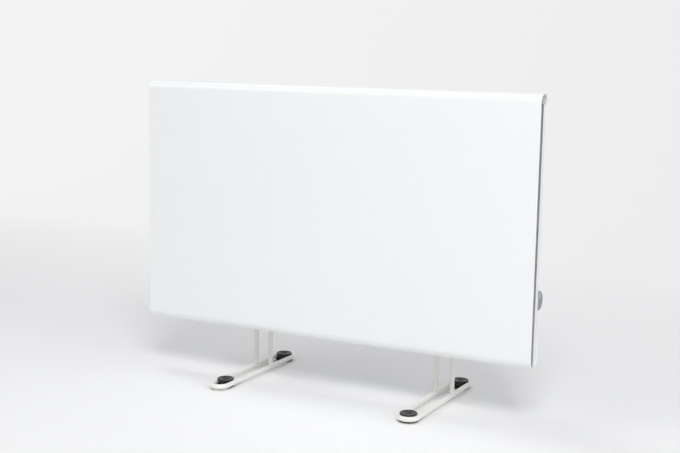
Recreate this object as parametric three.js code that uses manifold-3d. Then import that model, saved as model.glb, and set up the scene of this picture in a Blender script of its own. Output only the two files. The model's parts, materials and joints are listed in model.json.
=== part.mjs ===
// Slim panel convector heater on two bent-rod floor stands.
// Millimetres, +Z up. X runs along the panel, the front faces -Y, and the floor is z = 0.
// The origin is on the floor, below the middle of the panel's width and of the stands' depth.
import * as THREE from 'three';
import { mergeVertices } from 'three/addons/utils/BufferGeometryUtils.js';
import Module from 'manifold-3d';

const wasm = await Module();
wasm.setup();

// ---- driving dimensions -------------------------------------------------------------

const gap = 0.3; // seat clearance between pieces that touch

// front panel: one sheet, rolled back over the top and under the bottom
const panelWidth = 607;
const panelHeight = 360;
const panelDepth = 26;
const panelSheet = 1.2;
const panelLip = 20; // straight return below the top roll and above the bottom roll
const panelAhead = 52.5; // front face to the middle of the stands
const floorClearance = 81;

// rear casing: a shallow tray inside the panel
const casingSheet = 1;
const casingWall = 9;
const casingSideInset = 1.5;
const casingCorner = 6;
const casingScrewSpacing = 480;

// louvres and slots in the casing
const ventColumns = 7;
const ventPitch = 80;
const louvreLength = 60;
const louvreHeight = 8;
const louvreDepth = 4;
const louvreRows = 2;
const louvreRowPitch = 15;
const louvreTopDrop = 20; // top row's mouth below the end of the top lip
const slotLength = 60;
const slotWidth = 5;
const slotRows = 2;
const slotRowPitch = 12;
const slotRise = 8; // lowest slot's middle above the end of the bottom lip

// heating element
const finCount = 23;
const finPitch = 21;
const finHeight = 50;
const finDepth = 14;
const finThickness = 1.4;
const tubeDiameter = 7;
const tubeSleeve = 11.4; // outer diameter of the fin block's core
const tubeOverhang = 16; // tube beyond its bracket
const elementRise = 100; // tube axis above the panel's lowest edge
const bracketSheet = 1.2;
const bracketHeight = 36;
const bracketFoot = 16;
const bracketStandoff = 12; // bracket beyond the last fin

// overheat cut-out
const cutoutX = 190;
const cutoutRise = 142;
const cutoutDiameter = 15;
const cutoutBody = 7;

// wiring
const leadDiameter = 2.6;
const grommetX = 272;
const grommetRise = 121;
const grommetDiameter = 14;
const grommetBore = 9.4;

// control box on the back
const boxLeft = 203;
const boxWidth = 80;
const boxRise = 65; // lowest face above the panel's lowest edge
const boxHeight = 70;
const boxDepth = 49;
const boxWall = 2;
const boxCorner = 6;
const coverDepth = 6;
const coverRim = 2;

// thermostat
const dialDiameter = 29;
const dialLength = 10.5;
const dialRise = 83;
const spindleDiameter = 6;
const neckDiameter = 9;
const thermostatWidth = 22;
const thermostatHeight = 25;
const thermostatDepth = 17;

// rocker switch
const switchRise = 118;
const switchHeight = 21;
const switchWidth = 15;
const rockerHeight = 17;
const rockerWidth = 11;
const rockerTilt = 7; // degrees either side of level

// cord gland
const glandX = 222;
const glandDiameter = 16;
const glandBore = 8;

// floor stands: each is a closed loop of rod with a hairpin of the same rod on it
const standSpacing = 300;
const rodDiameter = 7;
const rodSpacing = 25;
const loopLength = 185; // between the middles of the two end bends
const uprightBehind = 81.5; // upright axis behind the panel's front face
const hairpinDrop = 21; // hairpin's top below the channels' tops

// feet
const padDiameter = 26;
const padSole = 20; // diameter of the pad's flat underside
const padThickness = 2.4;
const capDiameter = 24;
const capFlange = 2.5;
const leftFootShift = 15; // the left stand's front foot sits further back
const footScrewDiameter = 4;

// mounting channels between the casing and the uprights
const channelSheet = 1.5;
const channelWeb = 46;
const channelFlange = 14;
const channelRise = 69;
const channelDrop = 33; // channels' tops below the lowest louvre
const channelBend = 2;
const clampHeight = 14;
const clampSheet = 1.5;
const clampRise = 90;
const hookWidth = 12;

// ---- derived places -------------------------------------------------------------------

const frontY = -panelAhead;
const backY = frontY + panelDepth;
const bottomZ = floorClearance;
const topZ = floorClearance + panelHeight;
const rollRadius = panelDepth / 2;
const lipTopZ = topZ - rollRadius - panelLip;
const lipBottomZ = bottomZ + rollRadius + panelLip;

const casingBackY = backY - panelSheet - gap;
const casingInnerY = casingBackY - casingSheet;
const casingFrontY = casingBackY - casingWall;
const casingWidth = panelWidth - 2 * casingSideInset;
const casingBottomZ = bottomZ + panelSheet + gap;
const casingTopZ = topZ - rollRadius;

const tubeZ = bottomZ + elementRise;
const tubeY = casingInnerY - gap - bracketSheet - finDepth / 2;
const bracketX = ((finCount - 1) * finPitch) / 2 + bracketStandoff;

const rodRadius = rodDiameter / 2;
const rodZ = padThickness + gap + rodRadius;
const uprightY = frontY + uprightBehind;
const webY = uprightY - rodRadius - gap; // outer face of a channel's web
const lowestLouvreZ = lipTopZ - louvreTopDrop - (louvreRows - 1) * louvreRowPitch - louvreHeight;
const channelBottomZ = bottomZ + channelRise;
const channelTopZ = lowestLouvreZ - channelDrop;
const hairpinTopZ = channelTopZ - hairpinDrop;

const boxFrontY = casingBackY + gap;
const boxBackY = boxFrontY + boxDepth;
const boxRight = boxLeft + boxWidth;
const boxBottomZ = bottomZ + boxRise;
const boxTopZ = boxBottomZ + boxHeight;
const coverY = boxBackY - coverDepth;
const dialY = coverY - coverRim - gap - thermostatWidth / 2;
const dialZ = bottomZ + dialRise;
const switchZ = bottomZ + switchRise;

// ---- finishes -----------------------------------------------------------------------------

function finish(color, roughness, metalness = 0) {
  return new THREE.MeshStandardMaterial({ color, roughness, metalness });
}

const whitePaint = finish(0xf1f3f5, 0.42);
const casingPaint = finish(0xe9ebec, 0.5);
const standPaint = finish(0xf1efea, 0.4);
const blackPlastic = finish(0x17181a, 0.45);
const blackRubber = finish(0x111213, 0.85);
const greyPlastic = finish(0x8f9294, 0.5);
const whitePlastic = finish(0xe8e9e8, 0.55);
const zincSteel = finish(0xb9bcc0, 0.35, 0.9);
const blackSteel = finish(0x2a2b2d, 0.45, 0.7);
const aluminium = finish(0xcfd2d4, 0.4, 0.9);
const sheathSteel = finish(0x8d8f90, 0.45, 0.8);
const ceramic = finish(0xf0ebe0, 0.7);
const liveLead = finish(0x6b3f23, 0.6);
const neutralLead = finish(0x3068b0, 0.6);
const earthLead = finish(0x6e9a3a, 0.6);

// ---- solids ---------------------------------------------------------------------------------

function toSolid(geometry) {
  const bare = geometry.clone();
  bare.deleteAttribute('normal');
  bare.deleteAttribute('uv');
  const merged = mergeVertices(bare, 1e-4);
  return new wasm.Manifold(new wasm.Mesh({
    numProp: 3,
    vertProperties: new Float32Array(merged.attributes.position.array),
    triVerts: new Uint32Array(merged.index.array),
  }));
}

function toGeometry(solid) {
  const mesh = solid.getMesh();
  const geometry = new THREE.BufferGeometry();
  geometry.setAttribute('position', new THREE.BufferAttribute(mesh.vertProperties, 3));
  geometry.setIndex(new THREE.BufferAttribute(mesh.triVerts, 1));
  geometry.computeVertexNormals();
  return geometry;
}

// A body with pieces joined on and others cut away.
function carve(body, joins, cuts) {
  let solid = toSolid(body);
  for (const join of joins) {
    solid = solid.add(toSolid(join));
  }
  for (const cut of cuts) {
    solid = solid.subtract(toSolid(cut));
  }
  return toGeometry(solid);
}

// ---- shapes -----------------------------------------------------------------------------------

// Directions in which a flat outline is drawn and pushed out.
const alongX = new THREE.Matrix4().makeBasis(
  new THREE.Vector3(0, 1, 0), new THREE.Vector3(0, 0, 1), new THREE.Vector3(1, 0, 0));
const alongMinusY = new THREE.Matrix4().makeBasis(
  new THREE.Vector3(1, 0, 0), new THREE.Vector3(0, 0, 1), new THREE.Vector3(0, -1, 0));

// An outline pushed along X: its own x and y are Y and Z.
function pushX(outline, length, centreX = 0, curveSegments = 6) {
  const solid = new THREE.ExtrudeGeometry(outline, { depth: length, bevelEnabled: false, curveSegments });
  return solid.applyMatrix4(alongX).translate(centreX - length / 2, 0, 0);
}

// An outline pushed along Y between two places: its own x and y are X and Z.
function pushY(outline, fromY, toY, curveSegments = 6) {
  const depth = toY - fromY;
  const solid = new THREE.ExtrudeGeometry(outline, { depth, bevelEnabled: false, curveSegments });
  return solid.applyMatrix4(alongMinusY).translate(0, toY, 0);
}

// An outline pushed up Z between two heights.
function pushZ(outline, fromZ, toZ, curveSegments = 6) {
  const depth = toZ - fromZ;
  const solid = new THREE.ExtrudeGeometry(outline, { depth, bevelEnabled: false, curveSegments });
  return solid.translate(0, 0, fromZ);
}

function roundedRect(centreX, centreY, width, height, radius) {
  const x = width / 2 - radius;
  const y = height / 2 - radius;
  const outline = new THREE.Shape();
  outline.absarc(centreX + x, centreY + y, radius, 0, Math.PI / 2);
  outline.absarc(centreX - x, centreY + y, radius, Math.PI / 2, Math.PI);
  outline.absarc(centreX - x, centreY - y, radius, Math.PI, 1.5 * Math.PI);
  outline.absarc(centreX + x, centreY - y, radius, 1.5 * Math.PI, 2 * Math.PI);
  outline.closePath();
  return outline;
}

// A slot with round ends, lying along the outline's x.
function obround(centreX, centreY, length, width) {
  const radius = width / 2;
  const reach = length / 2 - radius;
  const outline = new THREE.Shape();
  outline.absarc(centreX + reach, centreY, radius, -Math.PI / 2, Math.PI / 2);
  outline.absarc(centreX - reach, centreY, radius, Math.PI / 2, 1.5 * Math.PI);
  outline.closePath();
  return outline;
}

function circle(centreX, centreY, radius) {
  return new THREE.Shape().absarc(centreX, centreY, radius, 0, 2 * Math.PI);
}

// A cylinder about a line that runs along one axis.
function cylinder(axis, centre, radius, from, to, sides = 16) {
  const solid = new THREE.CylinderGeometry(radius, radius, to - from, sides);
  const middle = (from + to) / 2;
  if (axis === 'x') {
    return solid.rotateZ(-Math.PI / 2).translate(middle, centre[0], centre[1]);
  }
  if (axis === 'z') {
    return solid.rotateX(Math.PI / 2).translate(centre[0], centre[1], middle);
  }
  return solid.translate(centre[0], middle, centre[1]);
}

// Stations on a bent centre line: corners are [x, y, bend radius].
function bentLine(corners, stepsPerBend) {
  const line = [new THREE.Vector2(corners[0][0], corners[0][1])];
  for (let i = 1; i < corners.length - 1; i += 1) {
    const here = new THREE.Vector2(corners[i][0], corners[i][1]);
    const before = new THREE.Vector2(corners[i - 1][0], corners[i - 1][1]).sub(here).normalize();
    const after = new THREE.Vector2(corners[i + 1][0], corners[i + 1][1]).sub(here).normalize();
    const radius = corners[i][2];
    const half = Math.acos(THREE.MathUtils.clamp(before.dot(after), -1, 1)) / 2;
    const bisector = before.clone().add(after).normalize();
    const centre = here.clone().addScaledVector(bisector, radius / Math.sin(half));
    const first = here.clone().addScaledVector(before, radius / Math.tan(half)).sub(centre);
    const turn = Math.sign(bisector.cross(first)) * (Math.PI - 2 * half);
    for (let step = 0; step <= stepsPerBend; step += 1) {
      const spoke = first.clone().rotateAround(new THREE.Vector2(), (turn * step) / stepsPerBend);
      line.push(centre.clone().add(spoke));
    }
  }
  const end = corners[corners.length - 1];
  line.push(new THREE.Vector2(end[0], end[1]));
  return line.filter((point, i) => i === 0 || point.distanceTo(line[i - 1]) > 1e-6);
}

// The outline of a sheet that follows a bent centre line.
function sheetOutline(corners, thickness, stepsPerBend = 4) {
  const line = bentLine(corners, stepsPerBend);
  const near = [];
  const far = [];
  line.forEach((point, i) => {
    const before = line[Math.max(i - 1, 0)];
    const after = line[Math.min(i + 1, line.length - 1)];
    const along = after.clone().sub(before).normalize();
    const across = new THREE.Vector2(-along.y, along.x).multiplyScalar(thickness / 2);
    near.push(point.clone().add(across));
    far.unshift(point.clone().sub(across));
  });
  return new THREE.Shape(near.concat(far));
}

// A rod's centre line: straight between stations, one step to a station.
class StationCurve extends THREE.Curve {
  constructor(stations) {
    super();
    this.stations = stations;
  }

  getPoint(t, target = new THREE.Vector3()) {
    const last = this.stations.length - 1;
    const place = THREE.MathUtils.clamp(t, 0, 1) * last;
    const index = Math.min(Math.floor(place), last - 1);
    return target.copy(this.stations[index]).lerp(this.stations[index + 1], place - index);
  }

  getUtoTmapping(u) {
    return u;
  }
}

function rod(stations, diameter, sides) {
  const section = circle(0, 0, diameter / 2);
  return new THREE.ExtrudeGeometry(section, {
    extrudePath: new StationCurve(stations),
    steps: stations.length - 1,
    curveSegments: sides / 2,
  });
}

// A turned solid about a vertical line, from [radius, height] pairs that start and end on the axis.
function turned(profile, sides) {
  const points = profile.map(([radius, height]) => new THREE.Vector2(radius, height));
  return new THREE.LatheGeometry(points, sides).rotateX(Math.PI / 2);
}

// A pan-head screw standing on z = 0, its head above and its shank below.
function panScrew(headDiameter, headHeight, shankDiameter, shankLength) {
  const head = headDiameter / 2;
  const shank = shankDiameter / 2;
  return turned([
    [0, -shankLength],
    [shank, -shankLength + shank / 2],
    [shank, 0],
    [head, 0],
    [head, headHeight * 0.4],
    [head * 0.6, headHeight],
    [0, headHeight],
  ], 8);
}

// ---- assembly ---------------------------------------------------------------------------------

const heater = new THREE.Group();

function addPiece(parent, name, geometry, material) {
  const mesh = new THREE.Mesh(geometry, material);
  mesh.name = name;
  parent.add(mesh);
  return mesh;
}

// A screw whose head faces +Y, seated at a place on a rear face.
function addRearScrew(name, geometry, x, seatY, z) {
  const screw = addPiece(heater, name, geometry, zincSteel);
  screw.rotation.x = -Math.PI / 2;
  screw.position.set(x, seatY, z);
}

// ---- front panel and casing ------------------------------------------------------------------

const casingScrewPlaces = [-1, 1].flatMap((side) => [
  { x: (side * casingScrewSpacing) / 2, z: lipTopZ + panelLip / 2 },
  { x: (side * casingScrewSpacing) / 2, z: lipBottomZ - panelLip / 2 },
]);
const casingScrewHole = 4.2;

function frontPanel() {
  const inset = panelSheet / 2;
  const radius = rollRadius - inset;
  const outline = sheetOutline([
    [backY - inset, lipTopZ],
    [backY - inset, topZ - inset, radius],
    [frontY + inset, topZ - inset, radius],
    [frontY + inset, bottomZ + inset, radius],
    [backY - inset, bottomZ + inset, radius],
    [backY - inset, lipBottomZ],
  ], panelSheet, 6);
  const holes = casingScrewPlaces.map(({ x, z }) => (
    cylinder('y', [x, z], casingScrewHole / 2, backY - panelSheet - 1, backY + 1, 8)));
  return carve(pushX(outline, panelWidth), [], holes);
}

function ventPlace(column) {
  return (column - (ventColumns - 1) / 2) * ventPitch;
}

// A hood pressed out of the casing, open at its top; grow is the skin taken off for its hollow.
function louvreProfile(mouthZ, skin, overrun) {
  const outline = new THREE.Shape();
  const root = casingBackY - skin;
  const depth = casingBackY + louvreDepth - skin;
  outline.moveTo(root - overrun, mouthZ - louvreHeight + skin);
  outline.lineTo(root, mouthZ - louvreHeight + skin);
  outline.lineTo(depth - 1.2, mouthZ - louvreHeight + skin + 1.5);
  outline.lineTo(depth, mouthZ - 3);
  outline.lineTo(depth, mouthZ + (skin > 0 ? 1 : 0));
  outline.lineTo(root - overrun, mouthZ + (skin > 0 ? 1 : 0));
  outline.closePath();
  return outline;
}

// The tray from the side: a round front corner at its top, and a bottom that curves inside the roll.
function casingProfile(skin, frontY) {
  const rollY = backY - rollRadius;
  const rollZ = bottomZ + rollRadius;
  const nest = rollRadius - panelSheet - gap - skin;
  const corner = skin > 0 ? 0 : casingCorner;
  const topZ = casingTopZ + (skin > 0 ? 1 : 0);
  const outline = new THREE.Shape();
  outline.moveTo(casingBackY - skin, topZ);
  outline.lineTo(frontY + corner, topZ);
  if (corner > 0) {
    outline.absarc(frontY + corner, topZ - corner, corner, Math.PI / 2, Math.PI);
  }
  outline.absarc(rollY, rollZ, nest, -Math.acos((frontY - rollY) / nest), 0);
  outline.closePath();
  return outline;
}

function rearCasing() {
  const middleZ = (casingTopZ + casingBottomZ) / 2;
  const height = casingTopZ - casingBottomZ;
  const bend = 3;
  const outer = roundedRect(0, middleZ, casingWidth, height, bend);
  const skins = 2 * casingSheet;
  const inner = roundedRect(0, middleZ, casingWidth - skins, height - skins, bend - casingSheet);
  const hollow = toSolid(pushX(casingProfile(casingSheet, casingFrontY - 1), casingWidth))
    .intersect(toSolid(pushY(inner, casingFrontY - 2, casingBackY + 1, 2)));

  let solid = toSolid(pushX(casingProfile(0, casingFrontY), casingWidth + 2))
    .intersect(toSolid(pushY(outer, casingFrontY - 1, casingBackY + 1, 2)))
    .subtract(hollow);

  for (let row = 0; row < louvreRows; row += 1) {
    const mouthZ = lipTopZ - louvreTopDrop - row * louvreRowPitch;
    for (let column = 0; column < ventColumns; column += 1) {
      const x = ventPlace(column);
      solid = solid.add(toSolid(pushX(louvreProfile(mouthZ, 0, casingSheet / 2), louvreLength, x, 4)));
      const throat = pushX(louvreProfile(mouthZ, casingSheet, casingSheet), louvreLength - skins, x, 4);
      solid = solid.subtract(toSolid(throat));
    }
  }
  for (let row = 0; row < slotRows; row += 1) {
    const z = lipBottomZ + slotRise + row * slotRowPitch;
    for (let column = 0; column < ventColumns; column += 1) {
      const slot = obround(ventPlace(column), z, slotLength, slotWidth);
      solid = solid.subtract(toSolid(pushY(slot, casingInnerY - 1, casingBackY + 1, 2)));
    }
  }
  const holes = casingScrewPlaces.concat(channelScrewPlaces()).map(({ x, z }) => (
    cylinder('y', [x, z], casingScrewHole / 2, casingInnerY - 1, casingBackY + 1, 8)));
  holes.push(cylinder('y', [grommetX, bottomZ + grommetRise], grommetDiameter / 2 - 1.5,
    casingInnerY - 1, casingBackY + 1, 12));
  holes.push(cylinder('y', [earthPlace.x, earthPlace.z], casingScrewHole / 2,
    casingInnerY - 1, casingBackY + 1, 8));
  for (const hole of holes) {
    solid = solid.subtract(toSolid(hole));
  }
  return toGeometry(solid);
}

// ---- mounting channels -----------------------------------------------------------------------

const clampZ = bottomZ + clampRise;
const clampScrewHole = 4.6;
const keyholeHead = 10;
const keyholeNeck = 5;
const keyholeDrop = 34; // keyhole below the hook
const keyholePitch = 60;

function channelScrewPlaces() {
  const reach = channelWeb / 2 + channelFlange / 2;
  return [-1, 1].flatMap((side) => [
    { x: (side * standSpacing) / 2 - reach, z: channelTopZ - 14 },
    { x: (side * standSpacing) / 2 + reach, z: channelBottomZ + 14 },
  ]);
}

// A top-hat section with keyholes and a hook, standing about x = 0.
function mountingChannel() {
  const inset = channelSheet / 2;
  const flangeY = casingBackY + gap + inset;
  const wall = channelWeb / 2 - inset;
  const bend = channelBend + inset;
  const hat = sheetOutline([
    [-channelWeb / 2 - channelFlange, flangeY],
    [-wall, flangeY, bend],
    [-wall, webY - inset, bend],
    [wall, webY - inset, bend],
    [wall, flangeY, bend],
    [channelWeb / 2 + channelFlange, flangeY],
  ], channelSheet, 2);
  const hookOutline = sheetOutline([
    [webY - inset, hairpinTopZ + gap + inset],
    [uprightY + rodRadius + gap + inset, hairpinTopZ + gap + inset, bend],
    [uprightY + rodRadius + gap + inset, hairpinTopZ - rodDiameter],
  ], channelSheet, 2);

  const cuts = [];
  const window = roundedRect(0, hairpinTopZ - rodDiameter - 9, hookWidth + 2, 18, 2);
  cuts.push(pushY(window, webY - channelSheet - 1, webY + 1, 1));
  for (const z of [hairpinTopZ - keyholeDrop, hairpinTopZ - keyholeDrop - keyholePitch]) {
    cuts.push(cylinder('y', [0, z], keyholeHead / 2, webY - channelSheet - 1, webY + 1, 10));
    const neck = roundedRect(0, z + keyholeHead / 2, keyholeNeck, keyholeHead, keyholeNeck / 2 - 0.1);
    cuts.push(pushY(neck, webY - channelSheet - 1, webY + 1, 2));
  }
  cuts.push(cylinder('y', [0, clampZ], clampScrewHole / 2, webY - channelSheet - 1, webY + 1, 8));
  const middleY = (webY + casingBackY) / 2;
  for (const share of [0.3, 0.7]) {
    const relief = obround(middleY, channelBottomZ + (channelTopZ - channelBottomZ) * share, 28, 16);
    cuts.push(pushX(relief, channelWeb + 4, 0, 2));
  }
  for (const { x, z } of channelScrewPlaces().slice(2)) {
    const place = [x - standSpacing / 2, z];
    cuts.push(cylinder('y', place, casingScrewHole / 2, casingBackY - 1, casingBackY + 5, 8));
  }
  return carve(pushZ(hat, channelBottomZ, channelTopZ), [pushX(hookOutline, hookWidth)], cuts);
}

// A strap that arches over both uprights and is pulled down between them.
function rodClamp() {
  const inset = clampSheet / 2;
  const seatY = webY + gap + inset;
  const crownY = uprightY + rodRadius + gap + inset;
  const arch = rodRadius + gap + inset;
  const corners = [[-rodSpacing / 2 - arch - 6, seatY]];
  for (const side of [-1, 1]) {
    const x = (side * rodSpacing) / 2;
    corners.push([x - arch, seatY, 1]);
    corners.push([x - arch, crownY, arch - 0.01]);
    corners.push([x + arch, crownY, arch - 0.01]);
    corners.push([x + arch, seatY, 1]);
  }
  corners.push([rodSpacing / 2 + arch + 6, seatY]);
  const outline = sheetOutline(corners, clampSheet, 2);
  const strap = pushZ(outline, clampZ - clampHeight / 2, clampZ + clampHeight / 2);
  const hole = cylinder('y', [0, clampZ], clampScrewHole / 2, webY - 1, webY + 5, 8);
  return carve(strap, [], [hole]);
}

// ---- floor stands ----------------------------------------------------------------------------

// The closed loop near the floor: two bars joined by a half turn at each end, with a butt weld.
function standLoop() {
  const reach = rodSpacing / 2;
  const bendSteps = 8;
  const weldLength = 5;
  const stations = [new THREE.Vector3(reach, weldLength / 2, rodZ)];
  for (const end of [1, -1]) {
    for (let step = 0; step <= bendSteps; step += 1) {
      const angle = (Math.PI * step) / bendSteps;
      const x = end * reach * Math.cos(angle);
      const y = end * (loopLength / 2 + reach * Math.sin(angle));
      stations.push(new THREE.Vector3(x, y, rodZ));
    }
  }
  stations.push(new THREE.Vector3(reach, -weldLength / 2, rodZ));
  const weld = cylinder('y', [reach, rodZ], rodRadius + gap / 2, -weldLength, weldLength, 12);
  return carve(rod(stations, rodDiameter, 12), [weld], []);
}

// The hairpin: two uprights joined by a half turn behind the panel, coped onto the bars below.
function standUprights() {
  const reach = rodSpacing / 2;
  const bendSteps = 8;
  const stations = [new THREE.Vector3(-reach, uprightY, rodZ)];
  for (let step = 0; step <= bendSteps; step += 1) {
    const angle = Math.PI - (Math.PI * step) / bendSteps;
    const z = hairpinTopZ - rodRadius - reach + reach * Math.sin(angle);
    stations.push(new THREE.Vector3(reach * Math.cos(angle), uprightY, z));
  }
  stations.push(new THREE.Vector3(reach, uprightY, rodZ));
  const copes = [-1, 1].map((side) => (
    cylinder('y', [side * reach, rodZ], rodRadius + gap, uprightY - rodDiameter, uprightY + rodDiameter, 16)));
  return carve(rod(stations, rodDiameter, 12), [], copes);
}

// ---- feet ------------------------------------------------------------------------------------

const capSeatZ = rodZ + rodRadius + gap;
const capTopZ = capSeatZ + capFlange;
const screwSeatZ = capTopZ - 3;

// The cap: a flange over the rods, a waist between them, and a ringed top with the screw's well.
function footCap() {
  const flange = capDiameter / 2;
  const waist = (rodSpacing - rodDiameter) / 2 - gap;
  const well = 4.6;
  const bore = footScrewDiameter / 2 + gap;
  return turned([
    [bore, padThickness + gap],
    [waist, padThickness + gap],
    [waist, capSeatZ],
    [flange, capSeatZ],
    [flange, capTopZ - 0.6],
    [flange - 0.8, capTopZ],
    [flange - 2.4, capTopZ],
    [flange - 2.9, capTopZ - 0.7],
    [well, capTopZ - 0.7],
    [well, screwSeatZ],
    [bore, screwSeatZ],
    [bore, padThickness + gap],
  ], 15);
}

// The pad: a soft disc on the floor with a blind hole for the screw's end.
function footPad() {
  const rim = padDiameter / 2;
  const sole = padSole / 2;
  const bore = footScrewDiameter / 2 + gap;
  return turned([
    [0, 0],
    [sole, 0],
    [rim, padThickness - 0.6],
    [rim, padThickness],
    [bore, padThickness],
    [bore, 1],
    [0, 1],
  ], 15);
}

function footScrew() {
  const shank = screwSeatZ - 1 - 2 * gap;
  return panScrew(8, 1.4, footScrewDiameter, shank).translate(0, 0, screwSeatZ + gap);
}

const loopPiece = standLoop();
const uprightPiece = standUprights();
const capPiece = footCap();
const padPiece = footPad();
const footScrewPiece = footScrew();

function addStand(side, sideName) {
  const stand = new THREE.Group();
  stand.position.x = (side * standSpacing) / 2;
  heater.add(stand);
  addPiece(stand, `stand_loop_${sideName}`, loopPiece, standPaint);
  addPiece(stand, `stand_uprights_${sideName}`, uprightPiece, standPaint);
  for (const [end, endName] of [[-1, 'front'], [1, 'back']]) {
    const foot = new THREE.Group();
    const shift = side < 0 && end < 0 ? leftFootShift : 0;
    foot.position.y = (end * loopLength) / 2 + shift;
    stand.add(foot);
    addPiece(foot, `foot_cap_${endName}_${sideName}`, capPiece, blackPlastic);
    addPiece(foot, `foot_pad_${endName}_${sideName}`, padPiece, blackRubber);
    addPiece(foot, `foot_screw_${endName}_${sideName}`, footScrewPiece, blackSteel);
  }
}

// ---- heating element -------------------------------------------------------------------------

// The fin block: thin plates, each with one corner cut, on one round core, bored for the tube.
function elementFins() {
  const length = (finCount - 1) * finPitch + finThickness;
  const chamfer = 4;
  const depth = finDepth / 2;
  const height = finHeight / 2;
  const plate = new THREE.Shape();
  plate.moveTo(tubeY - depth, tubeZ - height);
  plate.lineTo(tubeY + depth, tubeZ - height);
  plate.lineTo(tubeY + depth, tubeZ + height - chamfer);
  plate.lineTo(tubeY + depth - chamfer, tubeZ + height);
  plate.lineTo(tubeY - depth, tubeZ + height);
  plate.closePath();
  const plates = [];
  for (let i = 0; i < finCount; i += 1) {
    plates.push(pushX(plate, finThickness, (i - (finCount - 1) / 2) * finPitch));
  }
  const core = cylinder('x', [tubeY, tubeZ], tubeSleeve / 2, -length / 2, length / 2, 8);
  const bore = cylinder('x', [tubeY, tubeZ], tubeDiameter / 2 + gap, -length / 2 - 1, length / 2 + 1, 8);
  return carve(core, plates, [bore]);
}

// The sheathed tube, with a flat tab at each end.
function elementTube() {
  const reach = bracketX + tubeOverhang;
  const body = cylinder('x', [tubeY, tubeZ], tubeDiameter / 2, -reach, reach, 12);
  const tabs = [-1, 1].map((side) => {
    const tab = roundedRect(side * (reach + 4), tubeZ, 9, 6.3, 1);
    return pushY(tab, tubeY - 0.4, tubeY + 0.4, 2);
  });
  return carve(body, tabs, []);
}

const bushFlange = finDepth - 1.2;
const bushBody = tubeDiameter + 3.4;

// An angle bracket: its foot on the casing, its wall holding the bush.
function elementBracket(side) {
  const inset = bracketSheet / 2;
  const footY = casingInnerY - gap - inset;
  const reachY = tubeY - finDepth / 2;
  const wallX = side * bracketX;
  const outline = sheetOutline([
    [wallX + side * bracketFoot, footY],
    [wallX, footY, 2],
    [wallX, reachY],
  ], bracketSheet, 2);
  const hole = cylinder('x', [tubeY, tubeZ], bushBody / 2 + gap, wallX - 4, wallX + 4, 12);
  return carve(pushZ(outline, tubeZ - bracketHeight / 2, tubeZ + bracketHeight / 2), [], [hole]);
}

// A ceramic bush: a flange outside the bracket and a body through it.
function elementBush(side) {
  const start = bracketX + bracketSheet / 2 + gap;
  const points = [
    [tubeDiameter / 2 + gap, bracketX - 3],
    [bushBody / 2, bracketX - 3],
    [bushBody / 2, start],
    [bushFlange / 2, start],
    [bushFlange / 2, start + 3],
    [bushFlange / 2 - 1, start + 4],
    [tubeDiameter / 2 + gap, start + 4],
    [tubeDiameter / 2 + gap, bracketX - 3],
  ].map(([radius, along]) => new THREE.Vector2(radius, along));
  const bush = new THREE.LatheGeometry(points, 12).rotateZ((-side * Math.PI) / 2);
  return bush.translate(0, tubeY, tubeZ);
}

// ---- cut-out and wiring ----------------------------------------------------------------------

const cutoutZ = bottomZ + cutoutRise;
const grommetZ = bottomZ + grommetRise;
const earthPlace = { x: 287, z: bottomZ + 150 };

function overheatCutout() {
  const seatY = casingInnerY - gap;
  const frontFaceY = seatY - 1 - cutoutBody;
  const flange = pushY(obround(cutoutX, cutoutZ, cutoutDiameter + 14, 8), seatY - 1, seatY, 4);
  const body = cylinder('y', [cutoutX, cutoutZ], cutoutDiameter / 2, frontFaceY, seatY - 0.5, 16);
  const tabs = [-1, 1].map((side) => (
    pushX(roundedRect(frontFaceY - 1.5, cutoutZ, 4, 4.8, 0.6), 0.8, cutoutX + side * 4, 2)));
  return carve(flange, [body, ...tabs], []);
}

// A lead's stations: round a curve through its few bends.
function leadStations(points, count) {
  const curve = new THREE.CatmullRomCurve3(points.map((p) => new THREE.Vector3(...p)), false, 'centripetal');
  return curve.getPoints(count);
}

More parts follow.
